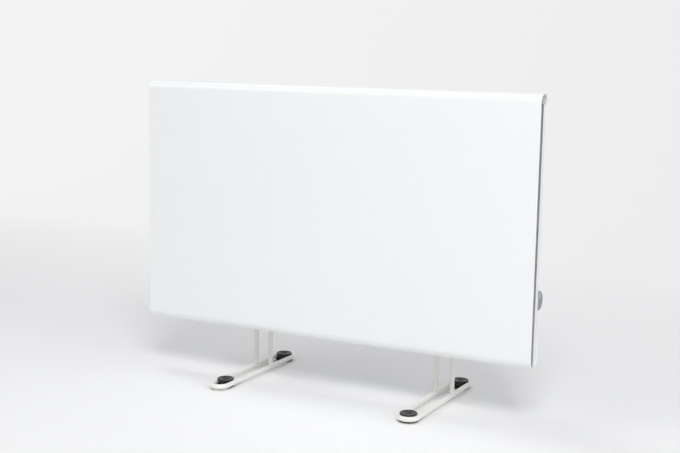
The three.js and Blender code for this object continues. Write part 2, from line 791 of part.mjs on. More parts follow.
function addLeads() {
  const tubeEnd = bracketX + tubeOverhang + 8.5 + leadDiameter / 2 + gap;
  const blockY = dialY - switchWidth / 2 - 6; // leads end short of the switch
  const throughY = casingInnerY - 3;
  const finTopZ = tubeZ + finHeight / 2;
  const casingLaneY = casingInnerY - 5.5;
  const cutoutTabY = casingInnerY - gap - 1 - cutoutBody - 3.5 - leadDiameter / 2 - gap;
  const lane = 1.7; // half the spacing of the leads in the grommet
  addPiece(heater, 'lead_neutral', rod(leadStations([
    [grommetX - lane, blockY, grommetZ - lane],
    [grommetX - lane, throughY + 6, grommetZ - lane],
    [grommetX - lane, throughY, grommetZ - lane],
    [grommetX - 10, casingLaneY - 1, finTopZ + 2],
    [grommetX - 26, casingLaneY, finTopZ + 4],
    [0, casingLaneY, finTopZ + 4],
    [-tubeEnd + 14, casingLaneY, finTopZ + 4],
    [-tubeEnd, tubeY, tubeZ + 14],
    [-tubeEnd, tubeY, tubeZ],
  ], 32), leadDiameter, 6), neutralLead);
  addPiece(heater, 'lead_live', rod(leadStations([
    [grommetX - lane, blockY, grommetZ + lane],
    [grommetX - lane, throughY + 6, grommetZ + lane],
    [grommetX - lane, throughY, grommetZ + lane],
    [grommetX - 4, casingLaneY - 2, grommetZ + 10],
    [cutoutX + 40, cutoutTabY, cutoutZ + 5],
    [cutoutX + 4, cutoutTabY, cutoutZ],
  ], 20), leadDiameter, 6), liveLead);
  addPiece(heater, 'lead_cutout_link', rod(leadStations([
    [cutoutX - 4, cutoutTabY, cutoutZ],
    [cutoutX - 5, cutoutTabY, cutoutZ - 8],
    [cutoutX + 10, cutoutTabY, finTopZ + 5],
    [tubeEnd - 20, cutoutTabY, finTopZ + 3],
    [tubeEnd, tubeY, tubeZ + 12],
    [tubeEnd, tubeY, tubeZ],
  ], 20), leadDiameter, 6), liveLead);
  addPiece(heater, 'lead_earth', rod(leadStations([
    [grommetX + lane, blockY, grommetZ],
    [grommetX + lane, throughY + 6, grommetZ],
    [grommetX + lane, throughY, grommetZ],
    [grommetX + 12, casingInnerY - 5, grommetZ + 12],
    [earthPlace.x, casingInnerY - 3.4, earthPlace.z - 5.5],
  ], 12), leadDiameter, 6), earthLead);
}

// A rubber ring that sits in the casing's hole with a groove for the sheet.
function leadGrommet() {
  const flange = grommetDiameter / 2;
  const groove = grommetDiameter / 2 - 1.5 - gap;
  const bore = grommetBore / 2;
  const inside = casingSheet / 2 + gap;
  const reach = inside + 1.2;
  const points = [
    [bore, -reach],
    [flange - 0.5, -reach],
    [flange, -inside],
    [groove, -inside],
    [groove, inside],
    [flange, inside],
    [flange - 0.5, reach],
    [bore, reach],
    [bore, -reach],
  ].map(([radius, along]) => new THREE.Vector2(radius, along));
  return new THREE.LatheGeometry(points, 12).translate(grommetX, casingInnerY + casingSheet / 2, grommetZ);
}

// ---- control box -----------------------------------------------------------------------------

const boxMiddleX = boxLeft + boxWidth / 2;
const boxMiddleZ = boxBottomZ + boxHeight / 2;
const coverScrewPlaces = [
  { x: boxLeft + 7, z: boxBottomZ + 7 },
  { x: boxLeft + 7, z: boxTopZ - 7 },
];
const glandY = dialY;

function controlBoxBase() {
  const outer = roundedRect(boxMiddleX, boxMiddleZ, boxWidth, boxHeight, boxCorner);
  const inner = roundedRect(boxMiddleX, boxMiddleZ, boxWidth - 2 * boxWall, boxHeight - 2 * boxWall,
    boxCorner - boxWall);
  const joins = coverScrewPlaces.map(({ x, z }) => (
    cylinder('y', [x, z], 4.2, boxFrontY + boxWall / 2, coverY - gap - 2, 10)));
  const cuts = coverScrewPlaces.map(({ x, z }) => (
    cylinder('y', [x, z], 1.6 + gap, coverY - 16, coverY + 1, 10)));
  cuts.push(cylinder('x', [dialY, dialZ], neckDiameter / 2 + gap, boxRight - boxWall - 1, boxRight + 1, 12));
  cuts.push(pushX(roundedRect(dialY, switchZ, switchWidth - 2 + 2 * gap, switchHeight - 2 + 2 * gap, 1),
    boxWall + 2, boxRight - boxWall / 2, 2));
  const glandHole = glandDiameter / 2 - 2 + gap;
  const leadHole = grommetDiameter / 2 + 1;
  cuts.push(cylinder('z', [glandX, glandY], glandHole, boxBottomZ - 1, boxBottomZ + boxWall + 1, 12));
  cuts.push(cylinder('y', [grommetX, grommetZ], leadHole, boxFrontY - 1, boxFrontY + boxWall + 1, 12));
  let solid = toSolid(pushY(outer, boxFrontY, coverY - gap, 3));
  solid = solid.subtract(toSolid(pushY(inner, boxFrontY + boxWall, coverY + 1, 3)));
  for (const join of joins) {
    solid = solid.add(toSolid(join));
  }
  for (const cut of cuts) {
    solid = solid.subtract(toSolid(cut));
  }
  return toGeometry(solid);
}

// The cover: a domed lid with a locating rim inside the base and a row of vents.
function controlBoxCover() {
  const bevel = 1.5;
  const flatWidth = boxWidth - 2 * bevel;
  const flatHeight = boxHeight - 2 * bevel;
  const flat = roundedRect(boxMiddleX, boxMiddleZ, flatWidth, flatHeight, boxCorner - bevel);
  const lid = new THREE.ExtrudeGeometry(flat, {
    depth: coverDepth - 2 * bevel,
    bevelThickness: bevel,
    bevelSize: bevel,
    bevelSegments: 1,
    curveSegments: 3,
  }).applyMatrix4(alongMinusY).translate(0, boxBackY - bevel, 0);
  const rimWidth = boxWidth - 2 * (boxWall + gap);
  const rimHeight = boxHeight - 2 * (boxWall + gap);
  const rim = roundedRect(boxMiddleX, boxMiddleZ, rimWidth, rimHeight, boxCorner - boxWall);
  const hollow = roundedRect(boxMiddleX, boxMiddleZ, rimWidth - 3, rimHeight - 3, 2.5);
  rim.holes.push(hollow);
  const cuts = [pushY(hollow, coverY - 1, boxBackY - boxWall, 1)];
  for (const { x, z } of coverScrewPlaces) {
    cuts.push(cylinder('y', [x, z], 5, coverY - 4, coverY, 10));
    cuts.push(cylinder('y', [x, z], 1.6 + gap, coverY - 4, boxBackY + 1, 10));
    cuts.push(cylinder('y', [x, z], 3.6, boxBackY - 0.8, boxBackY + 1, 12));
  }
  for (let i = 0; i < 4; i += 1) {
    const slot = obround(boxMiddleX + 4, boxMiddleZ - 12 + i * 8, 34, 2.6);
    cuts.push(pushY(slot, boxBackY - boxWall - 1, boxBackY + 1, 2));
  }
  return carve(lid, [pushY(rim, coverY - coverRim, coverY + 2, 1)], cuts);
}

// The thermostat: a case with a threaded neck through the box wall, bored for the spindle.
function thermostatBody() {
  const faceX = boxRight - boxWall - gap;
  const half = thermostatWidth / 2;
  const caseOutline = roundedRect(dialY, dialZ, thermostatWidth, thermostatHeight, 2);
  const shell = pushX(caseOutline, thermostatDepth, faceX - thermostatDepth / 2, 3);
  const neck = cylinder('x', [dialY, dialZ], neckDiameter / 2, faceX - 1, boxRight + 2.6, 12);
  const bore = cylinder('x', [dialY, dialZ], spindleDiameter / 2 + gap, faceX - 10, boxRight + 4, 12);
  const terminals = [-1, 1].map((side) => (
    pushX(roundedRect(dialY + side * (half - 5), dialZ, 0.8, 6.3, 0.3), 8, faceX - thermostatDepth - 3.5, 1)));
  return carve(shell, [neck, ...terminals], [bore]);
}

function thermostatNut() {
  const nut = new THREE.Shape();
  for (let i = 0; i < 6; i += 1) {
    const angle = (Math.PI * i) / 3;
    const point = [dialY + 7.2 * Math.cos(angle), dialZ + 7.2 * Math.sin(angle)];
    if (i === 0) {
      nut.moveTo(...point);
    } else {
      nut.lineTo(...point);
    }
  }
  nut.closePath();
  nut.holes.push(circle(dialY, dialZ, neckDiameter / 2 + gap));
  return pushX(nut, 1.9, boxRight + gap + 0.95, 8);
}

// The spindle, with a flat that the dial's bore matches.
function thermostatSpindle() {
  const start = boxRight - boxWall - gap - 10 + gap;
  const end = boxRight + dialLength - 1;
  const shaft = cylinder('x', [dialY, dialZ], spindleDiameter / 2, start, end, 16);
  const flat = new THREE.BoxGeometry(end - boxRight, spindleDiameter, 2);
  flat.translate((end + boxRight) / 2 + 4, dialY, dialZ + spindleDiameter / 2 + 0.2);
  return carve(shaft, [], [flat]);
}

// The dial: a scalloped grip on a round skirt, hollow behind for the nut.
function thermostatDial() {
  const radius = dialDiameter / 2;
  const scallops = 16;
  const grip = new THREE.Shape();
  const stepsAround = scallops * 2;
  for (let i = 0; i < stepsAround; i += 1) {
    const angle = (2 * Math.PI * i) / stepsAround;
    const reach = radius - 1.2 + 0.5 * Math.cos(scallops * angle);
    const point = [dialY + reach * Math.cos(angle), dialZ + reach * Math.sin(angle)];
    if (i === 0) {
      grip.moveTo(...point);
    } else {
      grip.lineTo(...point);
    }
  }
  grip.closePath();
  const backX = boxRight + 1.3;
  const faceX = backX + dialLength;
  const skirtDepth = 2.6;
  const body = pushX(grip, faceX - backX - 1, (faceX + backX + 1) / 2);
  const skirt = cylinder('x', [dialY, dialZ], radius, backX, backX + skirtDepth, 32);
  const pointer = new THREE.BoxGeometry(0.8, 1.6, radius * 0.6);
  pointer.translate(faceX + 0.1, dialY, dialZ + radius * 0.55);
  const well = cylinder('x', [dialY, dialZ], 8.2, backX - 1, backX + 2.4, 16);
  const bore = cylinder('x', [dialY, dialZ], spindleDiameter / 2 + gap, backX, faceX - 2, 12);
  return carve(skirt, [body, pointer], [well, bore]);
}

// The rocker's socket: a flange outside the wall and an open-fronted case behind it.
function switchHousing() {
  const flange = pushX(roundedRect(dialY, switchZ, switchWidth, switchHeight, 2), 1.4, boxRight + gap + 0.7, 2);
  const caseX = boxRight - 13;
  const inner = pushX(roundedRect(dialY, switchZ, switchWidth - 2, switchHeight - 2, 1), 14, caseX + 7, 1);
  const pocket = pushX(
    roundedRect(dialY, switchZ, rockerWidth + 2 * gap, rockerHeight + 1.6, 0.8), 14, boxRight + 2, 1);
  const terminals = [-1, 1].map((side) => (
    pushX(roundedRect(dialY, switchZ + side * 5, 6.3, 0.8, 0.3), 8, caseX - 3, 1)));
  return carve(flange, [inner, ...terminals], [pocket]);
}

// The rocker: a shallow vee over a round belly, tipped to its off side about an axis along Y.
function switchRocker() {
  const half = rockerHeight / 2;
  const outline = new THREE.Shape();
  outline.moveTo(-half, 2.4);
  outline.quadraticCurveTo(0, 1, half, 2.4);
  outline.lineTo(half, -0.5);
  outline.quadraticCurveTo(0, -6, -half, -0.5);
  outline.closePath();
  const vee = new THREE.ExtrudeGeometry(outline, { depth: rockerWidth, bevelEnabled: false, curveSegments: 8 });
  vee.translate(0, 0, -rockerWidth / 2);
  vee.applyMatrix4(new THREE.Matrix4().makeBasis(
    new THREE.Vector3(0, 0, 1), new THREE.Vector3(1, 0, 0), new THREE.Vector3(0, 1, 0)));
  return vee.rotateY(THREE.MathUtils.degToRad(-rockerTilt)).translate(boxRight + 1, dialY, switchZ);
}

// A three-way terminal block on the box floor.
function terminalBlock() {
  const floorY = boxFrontY + boxWall + gap;
  const x = boxLeft + 30;
  const z = boxMiddleZ;
  const cuts = [];
  for (const way of [-1, 0, 1]) {
    cuts.push(cylinder('y', [x, z + way * 9], 2, floorY + 6, floorY + 14, 8));
  }
  const ridge = [-0.5, 0.5].map((way) => (
    pushY(roundedRect(x, z + way * 9, 18, 1.6, 0.5), floorY + 10, floorY + 14, 1)));
  return carve(pushY(roundedRect(x, z, 18, 27, 1.5), floorY, floorY + 12, 1), ridge, cuts);
}

// The cord's gland: a flange and a domed nose below the box, a bore for the cord.
function cordGland() {
  const radius = glandDiameter / 2;
  const bore = glandBore / 2;
  const neck = radius - 2;
  return turned([
    [bore, boxBottomZ - 13],
    [radius - 3.2, boxBottomZ - 13],
    [radius - 1.6, boxBottomZ - 11],
    [radius - 1.2, boxBottomZ - 5],
    [radius, boxBottomZ - 4],
    [radius, boxBottomZ - gap],
    [neck, boxBottomZ - gap],
    [neck, boxBottomZ + boxWall + 4],
    [bore, boxBottomZ + boxWall + 4],
    [bore, boxBottomZ - 13],
  ], 12).translate(glandX, glandY, 0);
}

// ---- put together ------------------------------------------------------------------------------

addPiece(heater, 'front_panel', frontPanel(), whitePaint);
addPiece(heater, 'rear_casing', rearCasing(), casingPaint);

const casingScrewPiece = panScrew(7.6, 2.4, 3.6, 7);
casingScrewPlaces.forEach(({ x, z }, i) => {
  addRearScrew(`casing_screw_${i + 1}`, casingScrewPiece, x, backY + gap, z);
});

addPiece(heater, 'element_tube', elementTube(), sheathSteel);
addPiece(heater, 'element_fins', elementFins(), aluminium);
for (const [side, sideName] of [[-1, 'left'], [1, 'right']]) {
  addPiece(heater, `element_bracket_${sideName}`, elementBracket(side), zincSteel);
  addPiece(heater, `element_bush_${sideName}`, elementBush(side), ceramic);
}
addPiece(heater, 'overheat_cutout', overheatCutout(), ceramic);
addLeads();
addPiece(heater, 'lead_grommet', leadGrommet(), blackRubber);
const earthScrew = addPiece(heater, 'earth_screw', panScrew(8, 2.4, 3.6, 3.4), zincSteel);
earthScrew.rotation.x = Math.PI / 2;
earthScrew.position.set(earthPlace.x, casingInnerY - gap, earthPlace.z);

addPiece(heater, 'control_box_base', controlBoxBase(), whitePlastic);
addPiece(heater, 'control_box_cover', controlBoxCover(), whitePlastic);
const coverScrewPiece = panScrew(6.4, 1.8, 3.2, 18);
coverScrewPlaces.forEach(({ x, z }, i) => {
  addRearScrew(`cover_screw_${i + 1}`, coverScrewPiece, x, boxBackY - 0.8 + gap, z);
});
addPiece(heater, 'thermostat_body', thermostatBody(), blackPlastic);
addPiece(heater, 'thermostat_nut', thermostatNut(), zincSteel);
addPiece(heater, 'thermostat_spindle', thermostatSpindle(), zincSteel);
addPiece(heater, 'thermostat_dial', thermostatDial(), greyPlastic);
addPiece(heater, 'switch_housing', switchHousing(), blackPlastic);
addPiece(heater, 'switch_rocker', switchRocker(), blackPlastic);
addPiece(heater, 'terminal_block', terminalBlock(), ceramic);
addPiece(heater, 'cord_gland', cordGland(), blackPlastic);

const channelPiece = mountingChannel();
const clampPiece = rodClamp();
const clampScrewPiece = panScrew(8.4, 2.8, 4, 8);
const channelScrewPiece = panScrew(7.6, 2.4, 3.6, 5);
for (const [side, sideName] of [[-1, 'left'], [1, 'right']]) {
  const x = (side * standSpacing) / 2;
  addPiece(heater, `mounting_channel_${sideName}`, channelPiece, casingPaint).position.x = x;
  addPiece(heater, `rod_clamp_${sideName}`, clampPiece, zincSteel).position.x = x;
  addRearScrew(`clamp_screw_${sideName}`, clampScrewPiece, x, webY + clampSheet + 2 * gap, clampZ);
  addStand(side, sideName);
}
channelScrewPlaces().forEach(({ x, z }, i) => {
  addRearScrew(`channel_screw_${i + 1}`, channelScrewPiece, x, casingBackY + channelSheet + 2 * gap, z);
});

export default heater;
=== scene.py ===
import bpy
import json
import math
from mathutils import Matrix, Vector

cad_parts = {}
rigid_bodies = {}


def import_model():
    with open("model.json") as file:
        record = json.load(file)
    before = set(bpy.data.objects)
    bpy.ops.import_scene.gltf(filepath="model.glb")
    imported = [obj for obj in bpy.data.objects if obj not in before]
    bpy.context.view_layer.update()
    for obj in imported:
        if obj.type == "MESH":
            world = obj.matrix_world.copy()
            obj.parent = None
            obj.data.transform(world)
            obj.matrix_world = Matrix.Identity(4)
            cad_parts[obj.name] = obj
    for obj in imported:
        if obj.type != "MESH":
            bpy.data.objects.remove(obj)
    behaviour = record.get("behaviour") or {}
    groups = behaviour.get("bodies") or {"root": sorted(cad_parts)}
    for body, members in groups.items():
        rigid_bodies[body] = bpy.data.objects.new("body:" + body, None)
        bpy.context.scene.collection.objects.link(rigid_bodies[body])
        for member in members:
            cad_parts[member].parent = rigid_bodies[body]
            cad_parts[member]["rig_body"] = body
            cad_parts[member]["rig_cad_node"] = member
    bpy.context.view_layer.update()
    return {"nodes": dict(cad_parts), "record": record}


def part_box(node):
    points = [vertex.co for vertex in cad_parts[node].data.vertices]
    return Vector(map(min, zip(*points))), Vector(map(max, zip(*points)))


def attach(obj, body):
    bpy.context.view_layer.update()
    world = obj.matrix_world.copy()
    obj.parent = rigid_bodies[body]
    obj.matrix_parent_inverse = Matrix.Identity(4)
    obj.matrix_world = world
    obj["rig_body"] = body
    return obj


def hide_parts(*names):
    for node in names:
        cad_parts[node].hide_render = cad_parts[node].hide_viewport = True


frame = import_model()
print("frame loaded:", len(frame["nodes"]), "nodes")

mm = 0.001


# camera: the photograph's place, taken from the panel's edges and the feet

cameraView = {
    "place": (779.1, -1512.9, 499.0),
    "yaw": 27.43,
    "pitch": 8.68,
    "roll": 0.98,
    "lens": 63.52,
    "sensor": 36.0,
}


def placeCamera(view):
    yaw, pitch, roll = (math.radians(view[k]) for k in ("yaw", "pitch", "roll"))
    ahead = Vector((-math.sin(yaw) * math.cos(pitch), math.cos(yaw) * math.cos(pitch), -math.sin(pitch)))
    right = Vector((math.cos(yaw), math.sin(yaw), 0.0))
    up = right.cross(ahead)
    rightRolled = right * math.cos(roll) + up * math.sin(roll)
    upRolled = up * math.cos(roll) - right * math.sin(roll)
    bpy.ops.object.camera_add(location=[v * mm for v in view["place"]])
    camera = bpy.context.object
    camera.name = "photoCamera"
    turn = Matrix((rightRolled, upRolled, -ahead)).transposed()
    camera.rotation_euler = turn.to_euler()
    camera.data.sensor_width = view["sensor"]
    camera.data.lens = view["lens"]
    camera.data.clip_start = 0.01
    bpy.context.scene.camera = camera


placeCamera(cameraView)
print("camera placed")


# studio, in metres: one pale sweep for the floor and the wall behind, soft lamps in front and above

studio = {
    "width": 9.0,
    "front": -4.5,
    "wall": 1.6,
    "height": 3.6,
    "sweep": 1.1,
    "sweepSteps": 24,
    "floorColour": (0.905, 0.905, 0.908),
    "paperRoughness": 0.9,
    "paperShine": 0.2,
    "wallStart": 0.2,
    "wallFull": 1.1,
    "wallShare": 0.94,
    # the wall's glow carries painted shade across it along X: painted light on the left, painted shade with a
    # slight blue tint on the right
    "wallShadeAndTintStart": -2.2,
    "wallShadeAndTintFull": 0.6,
    "wallPaintedLightLeft": (0.915, 0.915, 0.92),
    "wallPaintedShadeRight": (0.845, 0.845, 0.86),
    "worldColour": (0.97, 0.98, 1.0),
    "worldStrength": 0.45,
    "shownColour": (0.86, 0.86, 0.865),
}

lamps = {
    "keyRight": {"place": (1.0, -1.75, 1.95), "aim": (0.0, 0.0, 0.25), "size": (1.0, 0.8), "power": 30.5},
    "fillLeft": {"place": (-1.5, -1.5, 1.9), "aim": (0.0, 0.0, 0.25), "size": (1.0, 0.8), "power": 7.5},
    "sideRight": {"place": (2.1, -0.7, 1.0), "aim": (0.2, 0.0, 0.25), "size": (1.0, 1.0), "power": 8.0},
    "wallWash": {"place": (-1.2, 0.2, 2.6), "aim": (-1.0, 2.2, 0.6), "size": (1.4, 0.6), "power": 14.0},
}


def deselectAll():
    if bpy.context.object and bpy.context.object.mode != "OBJECT":
        bpy.ops.object.mode_set(mode="OBJECT")
    bpy.ops.object.select_all(action="DESELECT")


# far behind, the paper glows in set pale colours, to the camera and in reflections only; across the wall the
# glow is painted light and shade, brighter on the left and darker, a little bluer, on the right
def paperMaterial(look):
    paper = bpy.data.materials.new("studioPaper")
    paper.use_nodes = True
    tree = paper.node_tree
    shader = tree.nodes["Principled BSDF"]
    shader.inputs["Base Color"].default_value = (*look["floorColour"], 1.0)
    shader.inputs["Roughness"].default_value = look["paperRoughness"]
    shader.inputs["Specular IOR Level"].default_value = look["paperShine"]
    place = tree.nodes.new("ShaderNodeTexCoord").outputs["Object"]
    split = tree.nodes.new("ShaderNodeSeparateXYZ")
    tree.links.new(place, split.inputs["Vector"])
    share = spread(tree, split.outputs["Y"], 0.0, look["wallShare"], look["wallStart"], look["wallFull"])
    across = spread(tree, split.outputs["X"], 0.0, 1.0, look["wallShadeAndTintStart"], look["wallShadeAndTintFull"])
    rays = tree.nodes.new("ShaderNodeLightPath")
    seen = rays.outputs["Is Camera Ray"]
    for kind in ("Is Glossy Ray", "Is Transmission Ray"):
        either = tree.nodes.new("ShaderNodeMath")
        either.operation = "MAXIMUM"
        tree.links.new(seen, either.inputs[0])
        tree.links.new(rays.outputs[kind], either.inputs[1])
        seen = either.outputs["Value"]
    amount = tree.nodes.new("ShaderNodeMath")
    amount.operation = "MULTIPLY"
    tree.links.new(share, amount.inputs[0])
    tree.links.new(seen, amount.inputs[1])
    glow = tree.nodes.new("ShaderNodeEmission")
    # the glow's colour runs from the painted light on the left to the painted shade on the right
    tree.links.new(mixColours(tree, across, look["wallPaintedLightLeft"], look["wallPaintedShadeRight"]), glow.inputs["Color"])
    blend = tree.nodes.new("ShaderNodeMixShader")
    tree.links.new(amount.outputs["Value"], blend.inputs["Fac"])
    tree.links.new(shader.outputs["BSDF"], blend.inputs[1])
    tree.links.new(glow.outputs["Emission"], blend.inputs[2])
    tree.links.new(blend.outputs["Shader"], tree.nodes["Material Output"].inputs["Surface"])
    return paper


def addStudio(look):
    deselectAll()
    bpy.ops.mesh.primitive_plane_add(size=1.0, location=(0.0, 0.0, 0.0))
    floor = bpy.context.object
    floor.name = "studioSweep"
    depth = look["wall"] - look["front"]
    bpy.ops.object.mode_set(mode="EDIT")
    bpy.ops.transform.resize(value=(look["width"], depth, 1.0))
    bpy.ops.transform.translate(value=(0.0, (look["wall"] + look["front"]) / 2, 0.0))
    bpy.ops.mesh.select_all(action="DESELECT")
    bpy.ops.object.mode_set(mode="OBJECT")
    for edge in floor.data.edges:  # only the far edge lies past the middle of the floor
        ends = [floor.data.vertices[v].co.y for v in edge.vertices]
        edge.select = min(ends) > (look["wall"] + look["front"]) / 2
    bpy.ops.object.mode_set(mode="EDIT")
    bpy.ops.mesh.select_mode(type="EDGE")
    bpy.ops.mesh.spin(steps=look["sweepSteps"], angle=-math.pi / 2,
                      center=(0.0, look["wall"], look["sweep"]), axis=(1.0, 0.0, 0.0))
    bpy.ops.mesh.extrude_region_move(TRANSFORM_OT_translate={"value": (0.0, 0.0, look["height"])})
    bpy.ops.mesh.select_all(action="SELECT")
    bpy.ops.mesh.remove_doubles(threshold=0.1 * mm)
    bpy.ops.mesh.normals_make_consistent(inside=False)
    bpy.ops.object.mode_set(mode="OBJECT")
    bpy.ops.object.shade_smooth()
    floor.data.materials.append(paperMaterial(look))


def addLamp(name, lamp):
    bpy.ops.object.light_add(type="AREA", location=lamp["place"])
    light = bpy.context.object
    light.name = name
    light.data.shape = "RECTANGLE"
    light.data.size, light.data.size_y = lamp["size"]
    light.data.energy = lamp["power"]
    aim = Vector(lamp["aim"]) - Vector(lamp["place"])
    light.rotation_euler = aim.to_track_quat("-Z", "Y").to_euler()


# the world lights at one level and is shown at another
def lightWorld(look):
    world = bpy.data.worlds.new("softWorld")
    bpy.context.scene.world = world
    world.use_nodes = True
    tree = world.node_tree
    background = tree.nodes["Background"]
    background.inputs["Color"].default_value = (*look["worldColour"], 1.0)
    background.inputs["Strength"].default_value = look["worldStrength"]
    shown = tree.nodes.new("ShaderNodeBackground")
    shown.inputs["Color"].default_value = (*look["shownColour"], 1.0)
    rays = tree.nodes.new("ShaderNodeLightPath")
    blend = tree.nodes.new("ShaderNodeMixShader")
    tree.links.new(rays.outputs["Is Camera Ray"], blend.inputs["Fac"])
    tree.links.new(background.outputs["Background"], blend.inputs[1])
    tree.links.new(shown.outputs["Background"], blend.inputs[2])
    tree.links.new(blend.outputs["Shader"], tree.nodes["World Output"].inputs["Surface"])


# node helpers, shared by every finish

def newMaterial(name):
    material = bpy.data.materials.new(name)
    material.use_nodes = True
    tree = material.node_tree
    shader = tree.nodes["Principled BSDF"]
    coords = tree.nodes.new("ShaderNodeTexCoord")
    return material, tree, shader, coords.outputs["Object"]


def addNoise(tree, vector, scale, detail=3.0, roughness=0.5):
    noise = tree.nodes.new("ShaderNodeTexNoise")
    noise.inputs["Scale"].default_value = scale
    noise.inputs["Detail"].default_value = detail
    noise.inputs["Roughness"].default_value = roughness
    tree.links.new(vector, noise.inputs["Vector"])
    return noise.outputs["Fac"]


def spread(tree, value, low, high, fromLow=0.3, fromHigh=0.7):
    remap = tree.nodes.new("ShaderNodeMapRange")
    remap.inputs["From Min"].default_value = fromLow
    remap.inputs["From Max"].default_value = fromHigh
    remap.inputs["To Min"].default_value = low
    remap.inputs["To Max"].default_value = high
    tree.links.new(value, remap.inputs["Value"])
    return remap.outputs["Result"]


def mixColours(tree, factor, first, second):
    mix = tree.nodes.new("ShaderNodeMix")
    mix.data_type = "RGBA"
    colourSockets = [s for s in mix.inputs if s.type == "RGBA"]
    for socket, colour in zip(colourSockets, (first, second)):
        if isinstance(colour, tuple):
            socket.default_value = (*colour, 1.0)
        else:
            tree.links.new(colour, socket)
    tree.links.new(factor, mix.inputs["Factor"])
    return next(s for s in mix.outputs if s.type == "RGBA")


def addBump(tree, height, strength, distance, after=None):
    bump = tree.nodes.new("ShaderNodeBump")
    bump.inputs["Strength"].default_value = strength
    bump.inputs["Distance"].default_value = distance
    tree.links.new(height, bump.inputs["Height"])
    if after is not None:
        tree.links.new(after, bump.inputs["Normal"])
    return bump.outputs["Normal"]


addStudio(studio)
for lampName, lampLook in lamps.items():
    addLamp(lampName, lampLook)
lightWorld(studio)
bpy.context.scene.view_settings.view_transform = "Standard"
print("studio ready")


# finishes: each look holds a colour and its shade, the settled dust, the rubbing and the surface's relief

# paint fused on bent metal, with an orange peel and a finer grain on it
def powderCoat(name, look):
    material, tree, shader, place = newMaterial(name)
    cloud = addNoise(tree, place, look["cloudScale"], detail=4.0)
    tint = mixColours(tree, spread(tree, cloud, 0.0, 1.0), look["colour"], look["shade"])
    dust = addNoise(tree, place, look["dustScale"], detail=6.0, roughness=0.7)
    dustAmount = spread(tree, dust, 0.0, look["dustAmount"], *look["dustRange"])
    tree.links.new(mixColours(tree, dustAmount, tint, look["dustColour"]), shader.inputs["Base Color"])
    rub = addNoise(tree, place, look["rubScale"], detail=5.0)
    tree.links.new(spread(tree, rub, look["roughLow"], look["roughHigh"]), shader.inputs["Roughness"])
    peel = addNoise(tree, place, look["peelScale"], detail=2.0)
    soft = addBump(tree, peel, look["peelStrength"], look["peelDepth"])
    grain = addNoise(tree, place, look["grainScale"], detail=2.0)
    fine = addBump(tree, grain, look["grainStrength"], look["grainDepth"], after=soft)
    tree.links.new(fine, shader.inputs["Normal"])
    shader.inputs["Coat Weight"].default_value = look["coat"]
    shader.inputs["Coat Roughness"].default_value = look["coatRoughness"]
    return material


panelCoatLook = {
    "colour": (0.85, 0.862, 0.868), "shade": (0.84, 0.853, 0.86), "cloudScale": 3.0,
    "dustScale": 90.0, "dustAmount": 0.05, "dustRange": (0.58, 0.8), "dustColour": (0.74, 0.73, 0.7),
    "rubScale": 14.0, "roughLow": 0.36, "roughHigh": 0.44,
    "peelScale": 420.0, "peelStrength": 0.12, "peelDepth": 0.3 * mm,
    "grainScale": 1680.0, "grainStrength": 0.048, "grainDepth": 0.1 * mm,
    "coat": 0.35, "coatRoughness": 0.22,
}
casingCoatLook = dict(panelCoatLook, colour=(0.85, 0.858, 0.86), shade=(0.83, 0.838, 0.84),
                      roughLow=0.42, roughHigh=0.54, dustAmount=0.16, dustScale=60.0, coat=0.0)
standCoatLook = dict(panelCoatLook, colour=(0.86, 0.85, 0.81), shade=(0.84, 0.83, 0.79), cloudScale=22.0,
                     dustAmount=0.12, dustScale=160.0, roughLow=0.3, roughHigh=0.42, peelScale=700.0,
                     grainScale=2800.0, coat=0.2)


# plastic, rubber, ceramic and lead covering, with the fine texture of their mould
def moulding(name, look):
    material, tree, shader, place = newMaterial(name)
    cloud = addNoise(tree, place, look["cloudScale"])
    tint = mixColours(tree, spread(tree, cloud, 0.0, 1.0), look["colour"], look["shade"])
    dust = addNoise(tree, place, look["dustScale"], detail=5.0, roughness=0.65)
    dustAmount = spread(tree, dust, 0.0, look["dustAmount"], *look["dustRange"])
    tree.links.new(mixColours(tree, dustAmount, tint, look["dustColour"]), shader.inputs["Base Color"])
    tree.links.new(spread(tree, cloud, look["roughLow"], look["roughHigh"]), shader.inputs["Roughness"])
    grain = addNoise(tree, place, look["grainScale"], detail=2.0)
    tree.links.new(addBump(tree, grain, look["grainStrength"], look["grainDepth"]), shader.inputs["Normal"])
    return material


blackMouldLook = {
    "colour": (0.018, 0.018, 0.02), "shade": (0.026, 0.026, 0.028), "cloudScale": 120.0,
    "dustScale": 700.0, "dustAmount": 0.35, "dustRange": (0.52, 0.75), "dustColour": (0.11, 0.11, 0.11),
    "roughLow": 0.32, "roughHigh": 0.48, "grainScale": 2600.0, "grainStrength": 0.35, "grainDepth": 0.12 * mm,
}
rubberLook = dict(blackMouldLook, roughLow=0.7, roughHigh=0.9, dustAmount=0.55)
greyMouldLook = dict(blackMouldLook, colour=(0.27, 0.275, 0.28), shade=(0.25, 0.255, 0.26),
                     dustAmount=0.08, dustColour=(0.4, 0.4, 0.4), roughLow=0.4, roughHigh=0.52)
markLook = dict(blackMouldLook, colour=(0.78, 0.78, 0.77), shade=(0.72, 0.72, 0.71), dustAmount=0.1,
                dustColour=(0.6, 0.6, 0.58), grainStrength=0.15)
whiteMouldLook = dict(blackMouldLook, colour=(0.78, 0.78, 0.77), shade=(0.75, 0.75, 0.74), dustAmount=0.12,
                      dustColour=(0.6, 0.59, 0.56), roughLow=0.4, roughHigh=0.52)
ceramicLook = dict(blackMouldLook, colour=(0.8, 0.76, 0.68), shade=(0.74, 0.7, 0.61), dustAmount=0.2,
                   dustColour=(0.5, 0.45, 0.36), roughLow=0.55, roughHigh=0.75, grainStrength=0.6)


